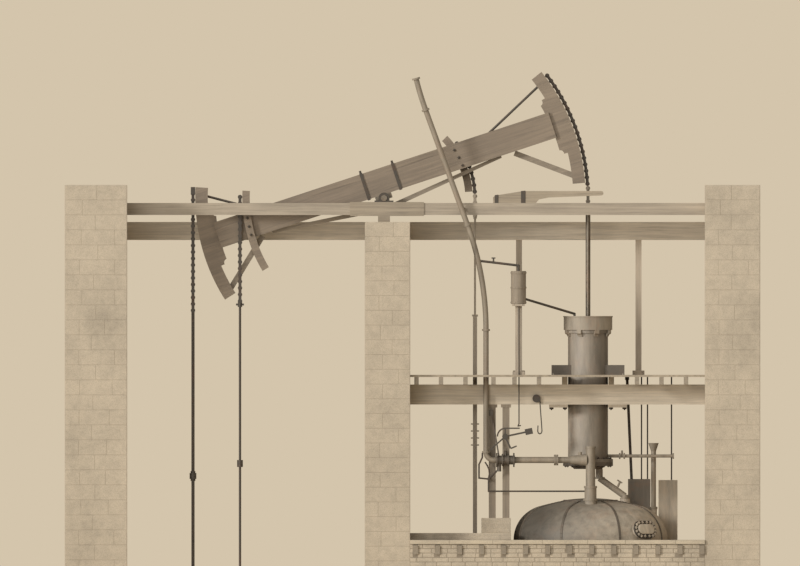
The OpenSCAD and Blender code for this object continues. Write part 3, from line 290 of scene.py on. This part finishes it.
# Widths of worn edges, in metres, and the nodes that have them
BEVEL = {
    0.010: "great_beam steam_arch pump_arch side_arches spring_beams_pump spring_beams_steam "
           "cylinder_beam_front cylinder_beam_back bearing_blocks loft_beam_pump loft_beam_steam "
           "loft_posts cylinder_bearers gear_posts",
    0.006: "floor_joists under_tie arch_struts catch_springs seal_tank_post plug_rod gear_platform",
    0.003: "hold_down_plates hot_well feed_tank plummer_blocks beam_straps",
}
for width, names in BEVEL.items():
    for n in names.split():
        b = NODES[n].modifiers.new("worn_edges", "BEVEL")
        b.width = width
        b.segments = 2
        b.limit_method = "ANGLE"
        b.angle_limit = math.radians(40)

# Pieces made here


def add(name, verts, faces, material, body, smooth=False):
    """One piece of the scene, riding on a body."""
    mesh = bpy.data.meshes.new(name)
    mesh.from_pydata([tuple(v) for v in verts], [], faces)
    mesh.update()
    if smooth:
        mesh.shade_smooth()
    mesh.materials.append(M[material])
    o = bpy.data.objects.new(name, mesh)
    bpy.context.scene.collection.objects.link(o)
    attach(o, body)


BLOCK_SUNK, BLOCK_EDGE = 0.004, 0.012
LEAST_SPAN = 0.04


def dressed_block(verts, faces, centre, u, v, n, w, h, proud):
    """A block with a chamfered face: w along u, h along v, standing proud along n."""
    edge = min(BLOCK_EDGE, min(w, h) / 4)
    rings = ((w / 2, h / 2, -BLOCK_SUNK), (w / 2, h / 2, proud * 0.45), (w / 2 - edge, h / 2 - edge, proud))
    base = len(verts)
    for a, b, d in rings:
        for su, sv in ((-1, -1), (1, -1), (1, 1), (-1, 1)):
            verts.append(centre + u * (a * su) + v * (b * sv) + n * d)
    for k in (0, 4):
        for i in range(4):
            j = (i + 1) % 4
            faces.append((base + k + i, base + k + j, base + k + 4 + j, base + k + 4 + i))
    faces.append((base + 8, base + 9, base + 10, base + 11))


def masonry(verts, faces, origin, u, n, width, height, block_w, block_h, joint, proud, rng, holes=()):
    """Courses of blocks over a face. holes are (u0, u1, z0, z1) left free, measured from origin."""
    v = Vector((0, 0, 1))
    rows = max(1, round(height / block_h))
    ch = height / rows
    for r in range(rows):
        z0 = r * ch
        cuts = [0.0]
        step = block_w * (0.5 if r % 2 else 1.0) * rng.uniform(0.85, 1.15)
        while cuts[-1] + step < width - block_w * 0.35:
            cuts.append(cuts[-1] + step)
            step = block_w * rng.uniform(0.82, 1.18)
        cuts.append(width)
        for a, b in zip(cuts, cuts[1:]):
            spans = [(a + joint / 2, b - joint / 2)]
            for h in holes:
                if h[2] < z0 + ch - joint and h[3] > z0 + joint:
                    cut = []
                    for s in spans:
                        if h[1] <= s[0] or h[0] >= s[1]:
                            cut.append(s)
                            continue
                        if h[0] - s[0] > LEAST_SPAN:
                            cut.append((s[0], h[0]))
                        if s[1] - h[1] > LEAST_SPAN:
                            cut.append((h[1], s[1]))
                    spans = cut
            for s in spans:
                centre = origin + u * ((s[0] + s[1]) / 2) + v * (z0 + ch / 2)
                out = proud * rng.uniform(0.7, 1.0)
                dressed_block(verts, faces, centre, u, v, n, s[1] - s[0], ch - joint, out)


STONE_W, STONE_H, STONE_JOINT, STONE_PROUD = 0.62, 0.30, 0.008, 0.004
FRONT, BACK, LEFT, RIGHT = Vector((0, -1, 0)), Vector((0, 1, 0)), Vector((-1, 0, 0)), Vector((1, 0, 0))
UP, DOWN = Vector((0, 0, 1)), Vector((0, 0, -1))


def wall(name, node, sides, seed):
    """Dressed stones on a wall's sides. sides are (outward normal, z0, z1, holes)."""
    lo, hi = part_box(node)
    rng = random.Random(seed)
    verts, faces = [], []
    for n, z0, z1, holes in sides:
        u = UP.cross(n)
        origin = Vector((lo.x if n in (FRONT, LEFT) else hi.x, lo.y if n in (FRONT, RIGHT) else hi.y, z0))
        width = hi.x - lo.x if n in (FRONT, BACK) else hi.y - lo.y
        moved = [(a, b, c - z0, d - z0) for a, b, c, d in holes]
        masonry(verts, faces, origin, u, n, width, z1 - z0, STONE_W, STONE_H, STONE_JOINT, STONE_PROUD,
                rng, moved)
    add(name, verts, faces, "stone", HOUSE)


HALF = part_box("lever_wall")[1].y
GAP = 0.008
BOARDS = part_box("floor_boards")
FLOOR = BOARDS[1].z


def timber_holes(node, width=None):
    """The places, along a wall's depth and up it, where a node's timbers enter the wall."""
    lo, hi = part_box(node)
    ends = [(lo.y, hi.y)] if width is None else [(lo.y, lo.y + width), (hi.y - width, hi.y)]
    return [(HALF + a - GAP, HALF + b + GAP, lo.z - GAP, hi.z + GAP) for a, b in ends]


def mirrored(holes):
    """The same holes, measured from the wall's other edge."""
    return [(2 * HALF - b, 2 * HALF - a, c, d) for a, b, c, d in holes]


# Stones of the three walls, round the doorway and the timbers' ends
DOOR_W, DOOR_H, SPRING_W, PLATFORM_H = 1.0, 1.90, 0.20, 0.14
door = [(HALF - DOOR_W / 2, HALF + DOOR_W / 2, FLOOR, FLOOR + DOOR_H)]
cyl_beams = timber_holes("cylinder_beam_front") + timber_holes("cylinder_beam_back")
springs = timber_holes("spring_beams_pump", SPRING_W)
loft = timber_holes("loft_beam_pump")
floor_band = [(HALF + BOARDS[0].y, HALF + BOARDS[1].y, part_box("floor_joists")[0].z, FLOOR)]
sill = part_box("lever_wall")[1].z
setting_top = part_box("boiler_setting")[1].z
platform_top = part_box("gear_platform")[0].z + PLATFORM_H
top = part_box("pump_end_wall")[1].z
wall("lever_wall_stones", "lever_wall",
     [(FRONT, 0.0, sill, []), (BACK, 0.0, sill, []), (LEFT, 0.0, sill, door + mirrored(loft)),
      (RIGHT, platform_top, sill, door + cyl_beams + loft + floor_band)], 11)
wall("pump_wall_stones", "pump_end_wall",
     [(FRONT, 0.0, top, []), (BACK, 0.0, top, []), (LEFT, 0.0, top, []),
      (RIGHT, 0.0, top, springs + loft)], 12)
wall("steam_wall_stones", "steam_end_wall",
     [(FRONT, 0.0, top, []), (BACK, 0.0, top, []), (RIGHT, 0.0, top, []),
      (LEFT, setting_top, top, mirrored(cyl_beams + springs + loft + floor_band))], 13)

# Brick facing of the boiler setting, front and back, round the furnace mouth and the joists' ends
lo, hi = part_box("boiler_setting")
CYL_X = sum(c.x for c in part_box("steam_cylinder")) / 2
COPING_H, COPING_OUT, COPING_W = 0.084, 0.04, 0.88
FIRE_W, FIRE_Z, FIRE_H = 0.62, 0.42, 0.56
JOISTS, JOIST_X, JOIST_STEP = 14, 0.583, 0.441
JOIST_W, JOIST_H, JOIST_TOP, JOIST_GAP = 0.096, 0.18, 0.11, 0.003
BRICK_W, BRICK_H, BRICK_JOINT, BRICK_PROUD = 0.28, 0.089, 0.012, 0.007
mouth = (CYL_X - FIRE_W / 2 - lo.x, CYL_X + FIRE_W / 2 - lo.x, FIRE_Z, FIRE_Z + FIRE_H)
joists = []
for i in range(JOISTS):
    x = JOIST_X + i * JOIST_STEP - lo.x
    z = setting_top - JOIST_TOP
    joists.append((x - JOIST_GAP, x + JOIST_W + JOIST_GAP, z - JOIST_H - JOIST_GAP, z + JOIST_GAP))
rng = random.Random(21)
verts, faces = [], []
for n, x, holes in ((FRONT, lo.x, [mouth] + joists), (BACK, hi.x, [])):
    masonry(verts, faces, Vector((x, n.y * HALF, 0.0)), UP.cross(n), n, hi.x - lo.x, setting_top - COPING_H,
            BRICK_W, BRICK_H, BRICK_JOINT, BRICK_PROUD, rng, holes)
add("setting_bricks", verts, faces, "brick", HOUSE)

# Brick of the gear platform and of the pedestals under its posts
plat_lo, plat_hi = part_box("gear_platform")
PEDESTAL_X, PEDESTAL_Y = (1.95, 2.53), (0.45, 0.69)
PLATFORM_COURSE, PEDESTAL_COURSE, SMALL_JOINT, SMALL_PROUD = 0.07, 0.075, 0.010, 0.004
verts, faces = [], []
for n, x in ((FRONT, plat_lo.x), (BACK, plat_hi.x)):
    masonry(verts, faces, Vector((x, n.y * plat_hi.y, plat_lo.z)), UP.cross(n), n, plat_hi.x - plat_lo.x,
            PLATFORM_H, BRICK_W, PLATFORM_COURSE, SMALL_JOINT, SMALL_PROUD, rng)
    near, far = sorted(n.y * y for y in PEDESTAL_Y)
    left, right = PEDESTAL_X
    for side, x, y, width in ((FRONT, left, near, right - left), (BACK, right, far, right - left),
                              (LEFT, left, far, far - near), (RIGHT, right, near, far - near)):
        masonry(verts, faces, Vector((x, y, platform_top)), UP.cross(side), side, width,
                plat_hi.z - platform_top, BRICK_W, PEDESTAL_COURSE, SMALL_JOINT, SMALL_PROUD, rng)
add("platform_bricks", verts, faces, "brick", HOUSE)

# Long coping stones along the setting's front and back
verts, faces = [], []
for n, x in ((FRONT, lo.x), (BACK, hi.x)):
    masonry(verts, faces, Vector((x, n.y * (HALF + COPING_OUT), setting_top - COPING_H)), UP.cross(n), n,
            hi.x - lo.x, COPING_H, COPING_W, COPING_H, STONE_JOINT, STONE_PROUD, rng)
add("setting_coping_blocks", verts, faces, "coping", HOUSE)

PAVING_PROUD, PAVING_JOINT, LEAST_PAVER = 0.003, 0.006, 0.03


def paving(name, x, y, z, cell, skip, material, seed):
    """Flat blocks laid on a level top, leaving free what stands there."""
    rng = random.Random(seed)
    verts, faces = [], []
    nx = max(1, round((x[1] - x[0]) / cell[0]))
    ny = max(1, round((y[1] - y[0]) / cell[1]))
    dx, dy = (x[1] - x[0]) / nx, (y[1] - y[0]) / ny
    for j in range(ny):
        shift = dx / 2 if j % 2 else 0.0
        for i in range(nx + 1):
            a = max(x[0], x[0] + i * dx - shift) + PAVING_JOINT / 2
            b = min(x[1], x[0] + (i + 1) * dx - shift) - PAVING_JOINT / 2
            if b - a < LEAST_PAVER:
                continue
            c, d = y[0] + j * dy + PAVING_JOINT / 2, y[0] + (j + 1) * dy - PAVING_JOINT / 2
            if any(s(a, b, c, d) for s in skip):
                continue
            dressed_block(verts, faces, Vector(((a + b) / 2, (c + d) / 2, z)), RIGHT, BACK, UP,
                          b - a, d - c, PAVING_PROUD * rng.uniform(0.6, 1.0))
    add(name, verts, faces, material, HOUSE)


def rect(x0, x1, y0, y1):
    """A test of whether a block from a to b and c to d meets this rectangle."""
    return lambda a, b, c, d: a < x1 and b > x0 and c < y1 and d > y0


def disc(x, y, r):
    """The same test for a circle."""
    def hit(a, b, c, d):
        px, py = min(max(x, a), b), min(max(y, c), d)
        return math.hypot(px - x, py - y) < r
    return hit


def around(node, room):
    """The same test for a node's box, grown by room."""
    lo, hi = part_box(node)
    return rect(lo.x - room, hi.x + room, lo.y - room, hi.y + room)


# Tiles on the setting, round the boiler, the gear platform and the tanks
BOILER_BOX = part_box("boiler")
BOILER = Vector(((BOILER_BOX[0].x + BOILER_BOX[1].x) / 2, 0.0, setting_top))
DOME_R, SHOULDER_R, DOME_H = 1.54, 0.70, 0.82
TILE, TILE_UNDER, TANK_ROOM = (0.24, 0.12), 0.03, 0.01
paving("setting_top_tiles", (lo.x, hi.x), (-HALF - COPING_OUT, HALF + COPING_OUT), setting_top, TILE,
       [disc(BOILER.x, 0, DOME_R - TILE_UNDER), around("gear_platform", 0.0), around("hot_well", TANK_ROOM),
        around("feed_tank", TANK_ROOM)], "brick", 31)

# Planks of the working floor, broken round the cylinder's well and the holes
PLANK = (1.475, 0.2)
WELL_X, WELL_Y = 0.78, 0.56
INJ_X, PIPE_Y, INJ_HOLE = 2.04, 0.78, 0.09
CORD_X, CORD_Y, CORD_HOLE = 2.70, 0.925, 0.035
PLUG_X, PLUG_Y, PLUG_HOLE = 1.82, 0.32, 0.09
paving("floor_planks", (BOARDS[0].x, BOARDS[1].x), (BOARDS[0].y, BOARDS[1].y), FLOOR, PLANK,
       [rect(CYL_X - WELL_X, CYL_X + WELL_X, -WELL_Y, WELL_Y), disc(INJ_X, -PIPE_Y, INJ_HOLE),
        rect(PLUG_X - PLUG_HOLE, PLUG_X + PLUG_HOLE, PLUG_Y - PLUG_HOLE, PLUG_Y + PLUG_HOLE),
        disc(CORD_X, -CORD_Y, CORD_HOLE)], "pale", 33)

# How far the centre of the crown's arc lies below the boiler's base
K = ((DOME_R - SHOULDER_R) ** 2 - (DOME_H - SHOULDER_R) ** 2) / (2 * (DOME_H - SHOULDER_R))


def dome_point(s, grow):
    """Point of the dome's half section and its outward normal, s from 0 at the base to 1 at the crown."""
    crown = DOME_H + K
    turn = math.atan2(K, DOME_R - SHOULDER_R)
    arc_1, arc_2 = SHOULDER_R * turn, crown * (math.pi / 2 - turn)
    d = s * (arc_1 + arc_2)
    if d < arc_1:
        a = d / SHOULDER_R
        return (DOME_R - SHOULDER_R + (SHOULDER_R + grow) * math.cos(a), (SHOULDER_R + grow) * math.sin(a), a)
    a = turn + (d - arc_1) / crown
    return ((crown + grow) * math.cos(a), (crown + grow) * math.sin(a) - K, a)


FOOT_SUNK = 0.002


def stud(verts, faces, at, normal, r, h, sides=8):
    """A domed rivet head."""
    n = normal.normalized()
    side = n.orthogonal().normalized()
    other = n.cross(side)
    base = len(verts)
    for rr, hh in ((r, -FOOT_SUNK), (r * 0.85, h * 0.55), (r * 0.45, h * 0.92)):
        for i in range(sides):
            a = 2 * math.pi * i / sides
            verts.append(at + side * (rr * math.cos(a)) + other * (rr * math.sin(a)) + n * hh)
    verts.append(at + n * h)
    for k in (0, sides):
        for i in range(sides):
            j = (i + 1) % sides
            faces.append((base + k + i, base + k + j, base + k + sides + j, base + k + sides + i))
    for i in range(sides):
        faces.append((base + 2 * sides + i, base + 2 * sides + (i + 1) % sides, base + 3 * sides))


def nut(verts, faces, at, normal, across, h, tip=0.0):
    """A square nut with the bolt's round end standing out of it."""
    n = normal.normalized()
    side = n.orthogonal().normalized()
    other = n.cross(side)
    base = len(verts)
    for w, hh in ((across, -FOOT_SUNK), (across, h * 0.8), (across * 0.84, h)):
        for sx, sy in ((-1, -1), (1, -1), (1, 1), (-1, 1)):
            verts.append(at + side * (w / 2 * sx) + other * (w / 2 * sy) + n * hh)
    for k in (0, 4):
        for i in range(4):
            j = (i + 1) % 4
            faces.append((base + k + i, base + k + j, base + k + 4 + j, base + k + 4 + i))
    faces.append((base + 8, base + 9, base + 10, base + 11))
    stud(verts, faces, at + n * h, n, across * 0.3, tip or h * 0.6)


# Rivets in two rows down each of the boiler's seams, and one row round its crown
SEAMS, SEAM_RIVETS, SEAM_START, SEAM_STEP, SEAM_OUT, ROW = 8, 26, 0.03, 0.036, 0.011, 0.014
CROWN_R, CROWN_RIVETS, CROWN_OUT, CROWN_LEAN, STEAM_ROOM = 0.56, 56, 0.016, 0.14, 0.16
verts, faces = [], []
for k in range(SEAMS):
    phi = 2 * math.pi * (k + 0.5) / SEAMS
    radial = Vector((math.cos(phi), math.sin(phi), 0))
    across = Vector((-math.sin(phi), math.cos(phi), 0))
    for i in range(SEAM_RIVETS):
        x, z, a = dome_point(SEAM_START + i * SEAM_STEP, SEAM_OUT)
        if x < CROWN_R + 0.02:
            continue
        n = radial * math.cos(a) + UP * math.sin(a)
        for off in (-ROW, ROW):
            stud(verts, faces, BOILER + radial * x + UP * z + across * off, n, 0.008, 0.007, 7)
rim = CROWN_R - 0.03
rim_z = math.sqrt((DOME_H + K + CROWN_OUT) ** 2 - rim * rim) - K
for i in range(CROWN_RIVETS):
    phi = 2 * math.pi * i / CROWN_RIVETS
    radial = Vector((math.cos(phi), math.sin(phi), 0))
    at = BOILER + radial * rim + UP * rim_z
    if math.hypot(at.x - BOILER.x, at.y + PIPE_Y) > STEAM_ROOM:
        stud(verts, faces, at, radial * CROWN_LEAN + UP, 0.010, 0.009)
add("boiler_rivets", verts, faces, "strap", HOUSE, True)

# Lead-faced lid inside the manhole's iron ring: a shallow dished oval
LID_RISE, LID_DIR = math.radians(16), math.radians(-46)
RING_OUT, LID_R, LID_LONG, LID_STEPS = 0.099, 0.102, 0.12, 40
LID_RINGS = ((1.0, -0.003), (1.0, 0.004), (0.9, 0.008), (0.55, 0.012))
outward = Vector((math.cos(LID_DIR), math.sin(LID_DIR), 0))
lid_n = outward * math.cos(LID_RISE) + UP * math.sin(LID_RISE)
lid_u = UP.cross(outward)
lid_v = lid_n.cross(lid_u)
reach = DOME_R - SHOULDER_R + SHOULDER_R * math.cos(LID_RISE)
lid_at = BOILER + outward * reach + UP * (SHOULDER_R * math.sin(LID_RISE)) + lid_n * RING_OUT
verts, faces = [], []
for scale, rise in LID_RINGS:
    for i in range(LID_STEPS):
        a = 2 * math.pi * i / LID_STEPS
        shift = LID_LONG if math.cos(a) >= 0 else -LID_LONG
        along, up = scale * (LID_R * math.cos(a) + shift), scale * LID_R * math.sin(a)
        verts.append(lid_at + lid_u * along + lid_v * up + lid_n * rise)
for k in range(0, 3 * LID_STEPS, LID_STEPS):
    for i in range(LID_STEPS):
        j = (i + 1) % LID_STEPS
        faces.append((k + i, k + j, k + LID_STEPS + j, k + LID_STEPS + i))
faces.append(tuple(3 * LID_STEPS + i for i in range(LID_STEPS)))
add("manhole_lid_face", verts, faces, "lined", HOUSE, True)

# Nuts round the manhole's ring, over its bolts
BOLT_R, BOLT_FOOT, BOLT_SIDE = 0.142, 0.075, 0.06
ring_at = lid_at + lid_n * (BOLT_FOOT - RING_OUT)
places = []
for s in (-1, 1):
    for i in range(6):
        a = math.radians(-75 + 30 * i)
        places.append((s * (LID_LONG + BOLT_R * math.cos(a)), BOLT_R * math.sin(a)))
    places += [(-BOLT_SIDE, s * BOLT_R), (BOLT_SIDE, s * BOLT_R)]
verts, faces = [], []
for along, up in places:
    nut(verts, faces, ring_at + lid_u * along + lid_v * up, lid_n, 0.046, 0.026, 0.006)
add("manhole_nuts", verts, faces, "plate", HOUSE)

# Nuts over and under the cylinder's flange
FLANGE_BOLTS, BOLT_CIRCLE, NUT_W, NUT_H = 20, 0.455, 0.034, 0.024
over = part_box("steam_cylinder")[0].z + 0.06
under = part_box("cylinder_bottom")[1].z - 0.07
verts, faces = [], []
for i in range(FLANGE_BOLTS):
    a = 2 * math.pi * (i + 0.5) / FLANGE_BOLTS
    x, y = CYL_X + BOLT_CIRCLE * math.cos(a), BOLT_CIRCLE * math.sin(a)
    nut(verts, faces, Vector((x, y, over)), UP, NUT_W, NUT_H)
    nut(verts, faces, Vector((x, y, under)), DOWN, NUT_W, NUT_H)
add("cylinder_flange_nuts", verts, faces, "iron", HOUSE)

BEAM_TURN = Matrix.Rotation(-BEAM_TILT, 3, "Y")


def on_beam(x, y, z):
    """The place of a point given along, across and above the beam's pivot."""
    return PIVOT + BEAM_TURN @ Vector((x, y, z))


# Bolts through the beam and its side arches: the plug rod's at the back, the jack rod's at the front
BEAM_HALF_W, SIDE_ARCH_W = 0.26, 0.10
PLUG_BOLTS_R, JACK_BOLTS_R, BOLTS_Z = 1.70, 2.76, (0.13, 0.30, 0.47)
verts, faces = [], []
for end, n, r in ((1, BACK, PLUG_BOLTS_R), (-1, FRONT, JACK_BOLTS_R)):
    for z in BOLTS_Z:
        x = end * math.sqrt(r * r - z * z)
        nut(verts, faces, on_beam(x, n.y * (BEAM_HALF_W + SIDE_ARCH_W), z), n, 0.045, 0.026)
        nut(verts, faces, on_beam(x, -n.y * BEAM_HALF_W, z), -n, 0.045, 0.026)
add("beam_nuts", verts, faces, "iron", "beam")

# Upper end of the plug rod's arch, which stands above the beam
PLUG_RIM, ARCH_DEEP, ARCH_FROM, ARCH_TO, ARCH_STEPS = 1.7747, 0.15, 19.4, 26.3, 6
arch_in = PLUG_RIM - ARCH_DEEP
section = ((arch_in, SIDE_ARCH_W), (PLUG_RIM, SIDE_ARCH_W), (PLUG_RIM, 0), (arch_in, 0))
verts, faces = [], [(0, 1, 2, 3)]
for i in range(ARCH_STEPS + 1):
    a = math.radians(ARCH_FROM + (ARCH_TO - ARCH_FROM) * i / ARCH_STEPS)
    verts += [on_beam(r * math.cos(a), BEAM_HALF_W + y, r * math.sin(a)) for r, y in section]
for i in range(0, 4 * ARCH_STEPS, 4):
    for k in range(4):
        j = (k + 1) % 4
        faces.append((i + k, i + 4 + k, i + 4 + j, i + j))
faces.append(tuple(4 * ARCH_STEPS + k for k in (3, 2, 1, 0)))
add("plug_arch_head", verts, faces, "beam", "beam")

# Iron straps over the butts of the catch springs, whose tops slope up to their full height
STRAP_T, STRAP_SUNK, CATCH_W = 0.008, 0.002, 0.16
BUTT_X, BUTT_H, SLOPE_L = 0.04, 0.15, 0.57
lo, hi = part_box("catch_springs")
slope = (hi.z - lo.z - BUTT_H) / SLOPE_L
verts, faces = [], []
for side in (-1, 1):
    for left, width in ((0.034, 0.072), (0.56, 0.088)):
        first = len(verts)
        for x in (left, left + width):
            top = min(lo.z + BUTT_H + max(0.0, x - BUTT_X) * slope, hi.z)
            near, far = hi.y - CATCH_W, hi.y
            outline = [(near - STRAP_T, lo.z), (near - STRAP_T, top + STRAP_T),
                       (far + STRAP_T, top + STRAP_T), (far + STRAP_T, lo.z),
                       (far - STRAP_SUNK, lo.z), (far - STRAP_SUNK, top - STRAP_SUNK),
                       (near + STRAP_SUNK, top - STRAP_SUNK), (near + STRAP_SUNK, lo.z)]
            verts += [Vector((lo.x + x, side * y, z)) for y, z in outline]
        strap = [(k, k + 8, (k + 1) % 8 + 8, (k + 1) % 8) for k in range(8)]
        for cap in ((0, 1, 6, 7), (1, 2, 5, 6), (2, 3, 4, 5)):
            strap += [cap, tuple(k + 8 for k in reversed(cap))]
        faces += [tuple(first + k for k in f[::side]) for f in strap]
add("catch_spring_straps", verts, faces, "iron", HOUSE)

# Nuts under the plates that hold the cylinder down
PLATE_BOLTS_X, PLATE_BOLTS_Y = (-0.73, -0.46, 0.46, 0.73), 0.565
plates_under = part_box("hold_down_plates")[0].z
verts, faces = [], []
for y in (-PLATE_BOLTS_Y, PLATE_BOLTS_Y):
    for x in PLATE_BOLTS_X:
        nut(verts, faces, Vector((CYL_X + x, y, plates_under)), DOWN, 0.06, 0.034)
add("frame_nuts", verts, faces, "iron", HOUSE)

# Light, camera and surroundings
scene = bpy.context.scene
scene.view_settings.view_transform = "Standard"

cam = bpy.data.objects.new("camera", bpy.data.cameras.new("camera"))
scene.collection.objects.link(cam)
cam.data.type = "ORTHO"
cam.data.ortho_scale = 16.0
cam.data.clip_end = 200
cam.location = (0.32, -30.0, 6.74)
cam.rotation_euler = (math.pi / 2, 0, 0)
scene.camera = cam

# The world lights the piece softly, and shows as paper to the camera and in reflections
world = bpy.data.worlds.new("world")
scene.world = world
world.use_nodes = True
wt = world.node_tree
wt.nodes.clear()
w_out = wt.nodes.new("ShaderNodeOutputWorld")
mixer = wt.nodes.new("ShaderNodeMixShader")
lit = wt.nodes.new("ShaderNodeBackground")
lit.inputs["Color"].default_value = (1.0, 0.98, 0.95, 1)
lit.inputs["Strength"].default_value = 0.30
seen = wt.nodes.new("ShaderNodeBackground")
seen.inputs["Color"].default_value = lin(PAPER)
seen.inputs["Strength"].default_value = 1.0
path = wt.nodes.new("ShaderNodeLightPath")
shown = path.outputs["Is Camera Ray"]
for ray in ("Is Glossy Ray", "Is Transmission Ray"):
    either = wt.nodes.new("ShaderNodeMath")
    either.operation = "MAXIMUM"
    wt.links.new(shown, either.inputs[0])
    wt.links.new(path.outputs[ray], either.inputs[1])
    shown = either.outputs[0]
wt.links.new(shown, mixer.inputs[0])
wt.links.new(lit.outputs[0], mixer.inputs[1])
wt.links.new(seen.outputs[0], mixer.inputs[2])
wt.links.new(mixer.outputs[0], w_out.inputs[0])


def sun(name, energy, soft, height, side):
    """A sun that stands height degrees up and side degrees to the left of the camera."""
    lamp = bpy.data.objects.new(name, bpy.data.lights.new(name, "SUN"))
    scene.collection.objects.link(lamp)
    lamp.data.energy = energy
    lamp.data.angle = math.radians(soft)
    lamp.rotation_euler = (math.radians(90 - height), 0, math.radians(-side))


sun("key", 2.0, 12, 14, 54)
sun("fill", 0.80, 30, 4, 16)
sun("sky", 0.85, 60, 72, 10)

GROUND_HALF, GROUND_Z = 40, -0.002
floor = bpy.data.meshes.new("ground")
corners = ((-1, -1), (1, -1), (1, 1), (-1, 1))
floor.from_pydata([(GROUND_HALF * x, GROUND_HALF * y, GROUND_Z) for x, y in corners], [], [(0, 1, 2, 3)])
ground = bpy.data.objects.new("ground", floor)
scene.collection.objects.link(ground)
g = Tree("pale_ground")
cloud = g.ramp(g.noise(g.coord, 0.4), [(0.3, lin(GROUND_DARK)), (0.7, lin(GROUND_PALE))])
floor.materials.append(g.finish(cloud, 0.95))
